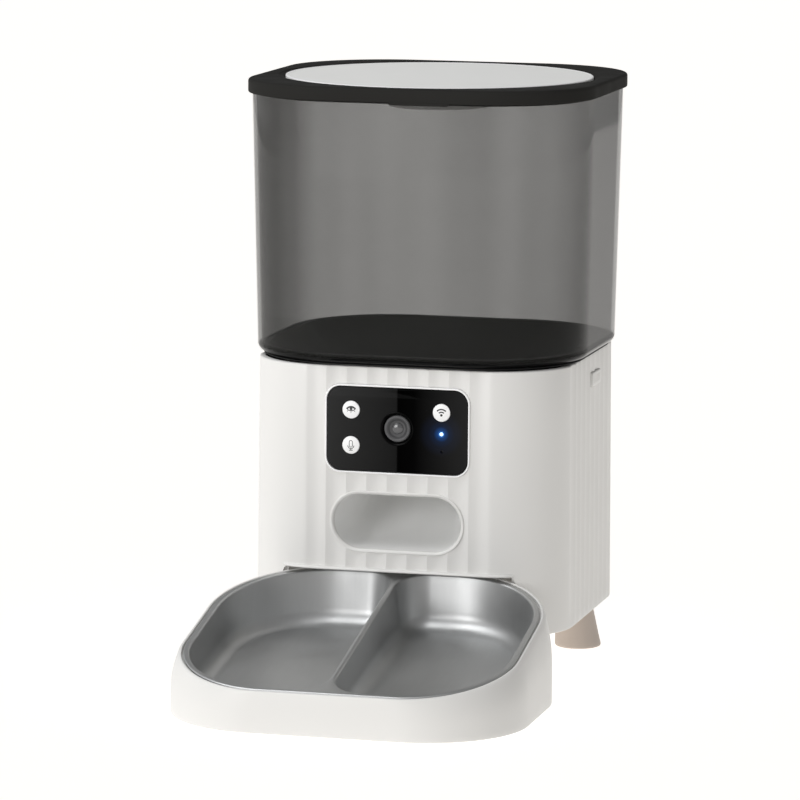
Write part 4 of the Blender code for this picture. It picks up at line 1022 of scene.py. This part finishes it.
def bowl(materials):
    """A pressed sheet: a rolled outer edge, a flat flange and two deep basins that share a ridge."""
    work = bmesh.new()
    edge = [(2.2, 0.2 - FLANGE_THICK)]
    edge += [(EDGE_ROLL + x, 0.2 - EDGE_ROLL + z) for x, z in arc_points((0, 0), EDGE_ROLL, 270, 90, 10)]
    edge.append((1.6, 0.05))
    borders = [add_rings(work, [bowl_edge_ring(amount, lift) for amount, lift in edge])[-1]]
    for side in (1, -1):
        loops = add_rings(work, cavity_rings(side))
        work.faces.new(loops[-1])
        borders.append(loops[0])
    edges = [work.edges.get((border[i], border[(i + 1) % len(border)])) for border in borders
             for i in range(len(border))]
    bmesh.ops.triangle_fill(work, use_beauty=True, edges=edges)
    piece = object_of("steel_bowl", work)
    thick = piece.modifiers.new("sheet", "SOLIDIFY")
    thick.thickness = SHEET_THICK * MM
    thick.offset = -1
    finish_piece(piece, materials["steel"], "bowl", ["bowl"], 50)


# ---- kept nodes ----

KEPT = {
    "white": ["base_plate", "tray_bay", "mid_deck", "battery_box", "battery_door", "desiccant_holder",
              "desiccant_cap"],
    "dark": ["gearbox_case", "gearbox_cover", "camera_housing", "speaker", "power_socket", "microphone"],
    "rubber": ["lid_seal"],
    "acetal": ["rotor_housing", "rotor", "stirrer", "output_gear", "idler_gear"],
    "board": ["panel_pcb", "main_pcb", "camera_pcb"],
    "hardware": ["idler_pin", "gear_motor", "base_screw_1", "base_screw_2", "base_screw_3", "base_screw_4",
                 "battery_contact", "battery_spring_1", "battery_spring_2", "battery_spring_3",
                 "drive_shaft", "motor_pinion"],
}
SOFTENED = {"base_plate": 0.4, "battery_door": 0.4, "rotor": 0.4, "stirrer": 0.4, "rotor_housing": 0.4,
            "desiccant_cap": 0.5, "desiccant_holder": 0.5, "mid_deck": 0.4, "battery_box": 0.5,
            "power_socket": 0.4, "tray_bay": 0.4, "lid_seal": 0.5}


def kept_nodes(materials):
    """CAD nodes whose shape is right get their finish, and the larger ones softened edges."""
    for key, names in KEPT.items():
        for name in names:
            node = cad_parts[name]
            node.data.materials.clear()
            node.data.materials.append(materials[key])
            if name in SOFTENED:
                bevel = node.modifiers.new("soft_edges", "BEVEL")
                bevel.width = SOFTENED[name] * MM
                bevel.segments = 2
                bevel.limit_method = "ANGLE"
                bevel.angle_limit = math.radians(50)


# ---- stage ----

LAMPS = (                      # name, azimuth, elevation, distance, size, power and colour
    ("key", -58, 58, 2.6, 1.6, 33, (0.98, 0.99, 1.0)),
    ("front", -26, 10, 3.0, 1.2, 26, (1.0, 1.0, 1.0)),
    ("left", -110, 20, 2.4, 1.4, 4, (0.98, 0.99, 1.0)),
    ("right", 150, 20, 2.4, 1.4, 2.5, (1.0, 0.95, 0.88)),
)
VIEW_AZIMUTH, VIEW_ELEVATION, VIEW_ROLL = 14.26, 8.21, 0.44
VIEW_DISTANCE, VIEW_LENS, VIEW_SHIFT = 2.948, 223.1, (-0.0468, -0.0373)
VIEW_HEIGHT = 0.170            # metres; where the view's axis crosses the feeder's


def towards(azimuth, elevation):
    """A direction away from the feeder; azimuth 0 is in front and grows to the right."""
    turn, lift = math.radians(azimuth), math.radians(elevation)
    return Vector((math.sin(turn) * math.cos(lift), -math.cos(turn) * math.cos(lift), math.sin(lift)))


def area_light(name, azimuth, elevation, distance, size, power, colour, lit):
    """A soft square light aimed at the feeder."""
    data = bpy.data.lights.new(name, "AREA")
    data.size = size
    data.energy = power
    data.color = colour
    lamp = bpy.data.objects.new(name, data)
    back = towards(azimuth, elevation)
    lamp.location = Vector((0, 0, 0.16)) + back * distance
    lamp.rotation_euler = (-back).to_track_quat("-Z", "Y").to_euler()
    lamp.light_linking.receiver_collection = lit
    bpy.context.scene.collection.objects.link(lamp)


def pale_floor():
    """A white table that glows a little, so that it stays even under the lights."""
    bpy.ops.mesh.primitive_plane_add(size=14, location=(0, 0, -0.0005))
    floor = bpy.context.object
    floor.name = "floor"
    material, _, shader = new_material("pale_floor")
    shader.inputs["Base Color"].default_value = (0.90, 0.895, 0.885, 1)
    shader.inputs["Roughness"].default_value = 0.7
    shader.inputs["Specular IOR Level"].default_value = 0.1
    shader.inputs["Emission Color"].default_value = (1.0, 0.975, 0.94, 1)
    shader.inputs["Emission Strength"].default_value = 0.75
    floor.data.materials.append(material)
    return floor


def stage():
    """The floor, a dim even sky and four soft lights that leave the floor alone."""
    floor = pale_floor()
    lit = bpy.data.collections.new("lit_by_lamps")
    lit.objects.link(floor)
    lit.collection_objects[0].light_linking.link_state = "EXCLUDE"
    world = bpy.data.worlds.new("studio")
    bpy.context.scene.world = world
    world.use_nodes = True
    world.node_tree.nodes["Background"].inputs["Color"].default_value = (1.0, 1.0, 1.0, 1)
    world.node_tree.nodes["Background"].inputs["Strength"].default_value = 0.32
    for lamp in LAMPS:
        area_light(*lamp, lit)
    bpy.context.scene.view_settings.view_transform = "Standard"


def camera_view():
    """A long lens in front of the feeder, a little to the right and above."""
    data = bpy.data.cameras.new("view")
    data.sensor_width = 36.0
    data.lens = VIEW_LENS
    data.shift_x, data.shift_y = VIEW_SHIFT
    data.clip_start, data.clip_end = 0.1, 50
    camera_object = bpy.data.objects.new("view", data)
    back = towards(VIEW_AZIMUTH, VIEW_ELEVATION)
    camera_object.location = Vector((0, AXIS_Y, VIEW_HEIGHT)) + back * VIEW_DISTANCE
    turn = (-back).to_track_quat("-Z", "Y").to_matrix().to_4x4()
    roll = Matrix.Rotation(math.radians(VIEW_ROLL), 4, "Z")
    camera_object.rotation_euler = (turn @ roll).to_euler()
    bpy.context.scene.collection.objects.link(camera_object)
    bpy.context.scene.camera = camera_object


def main():
    """Build every part, then the stage."""
    camera_view()
    materials = make_materials()
    for build in (lid, hopper, funnel, body, chute, visor, feet, release_buttons, release_springs, panel,
                  camera, icon_buttons, tray, bowl, kept_nodes):
        build(materials)
    stage()


main()
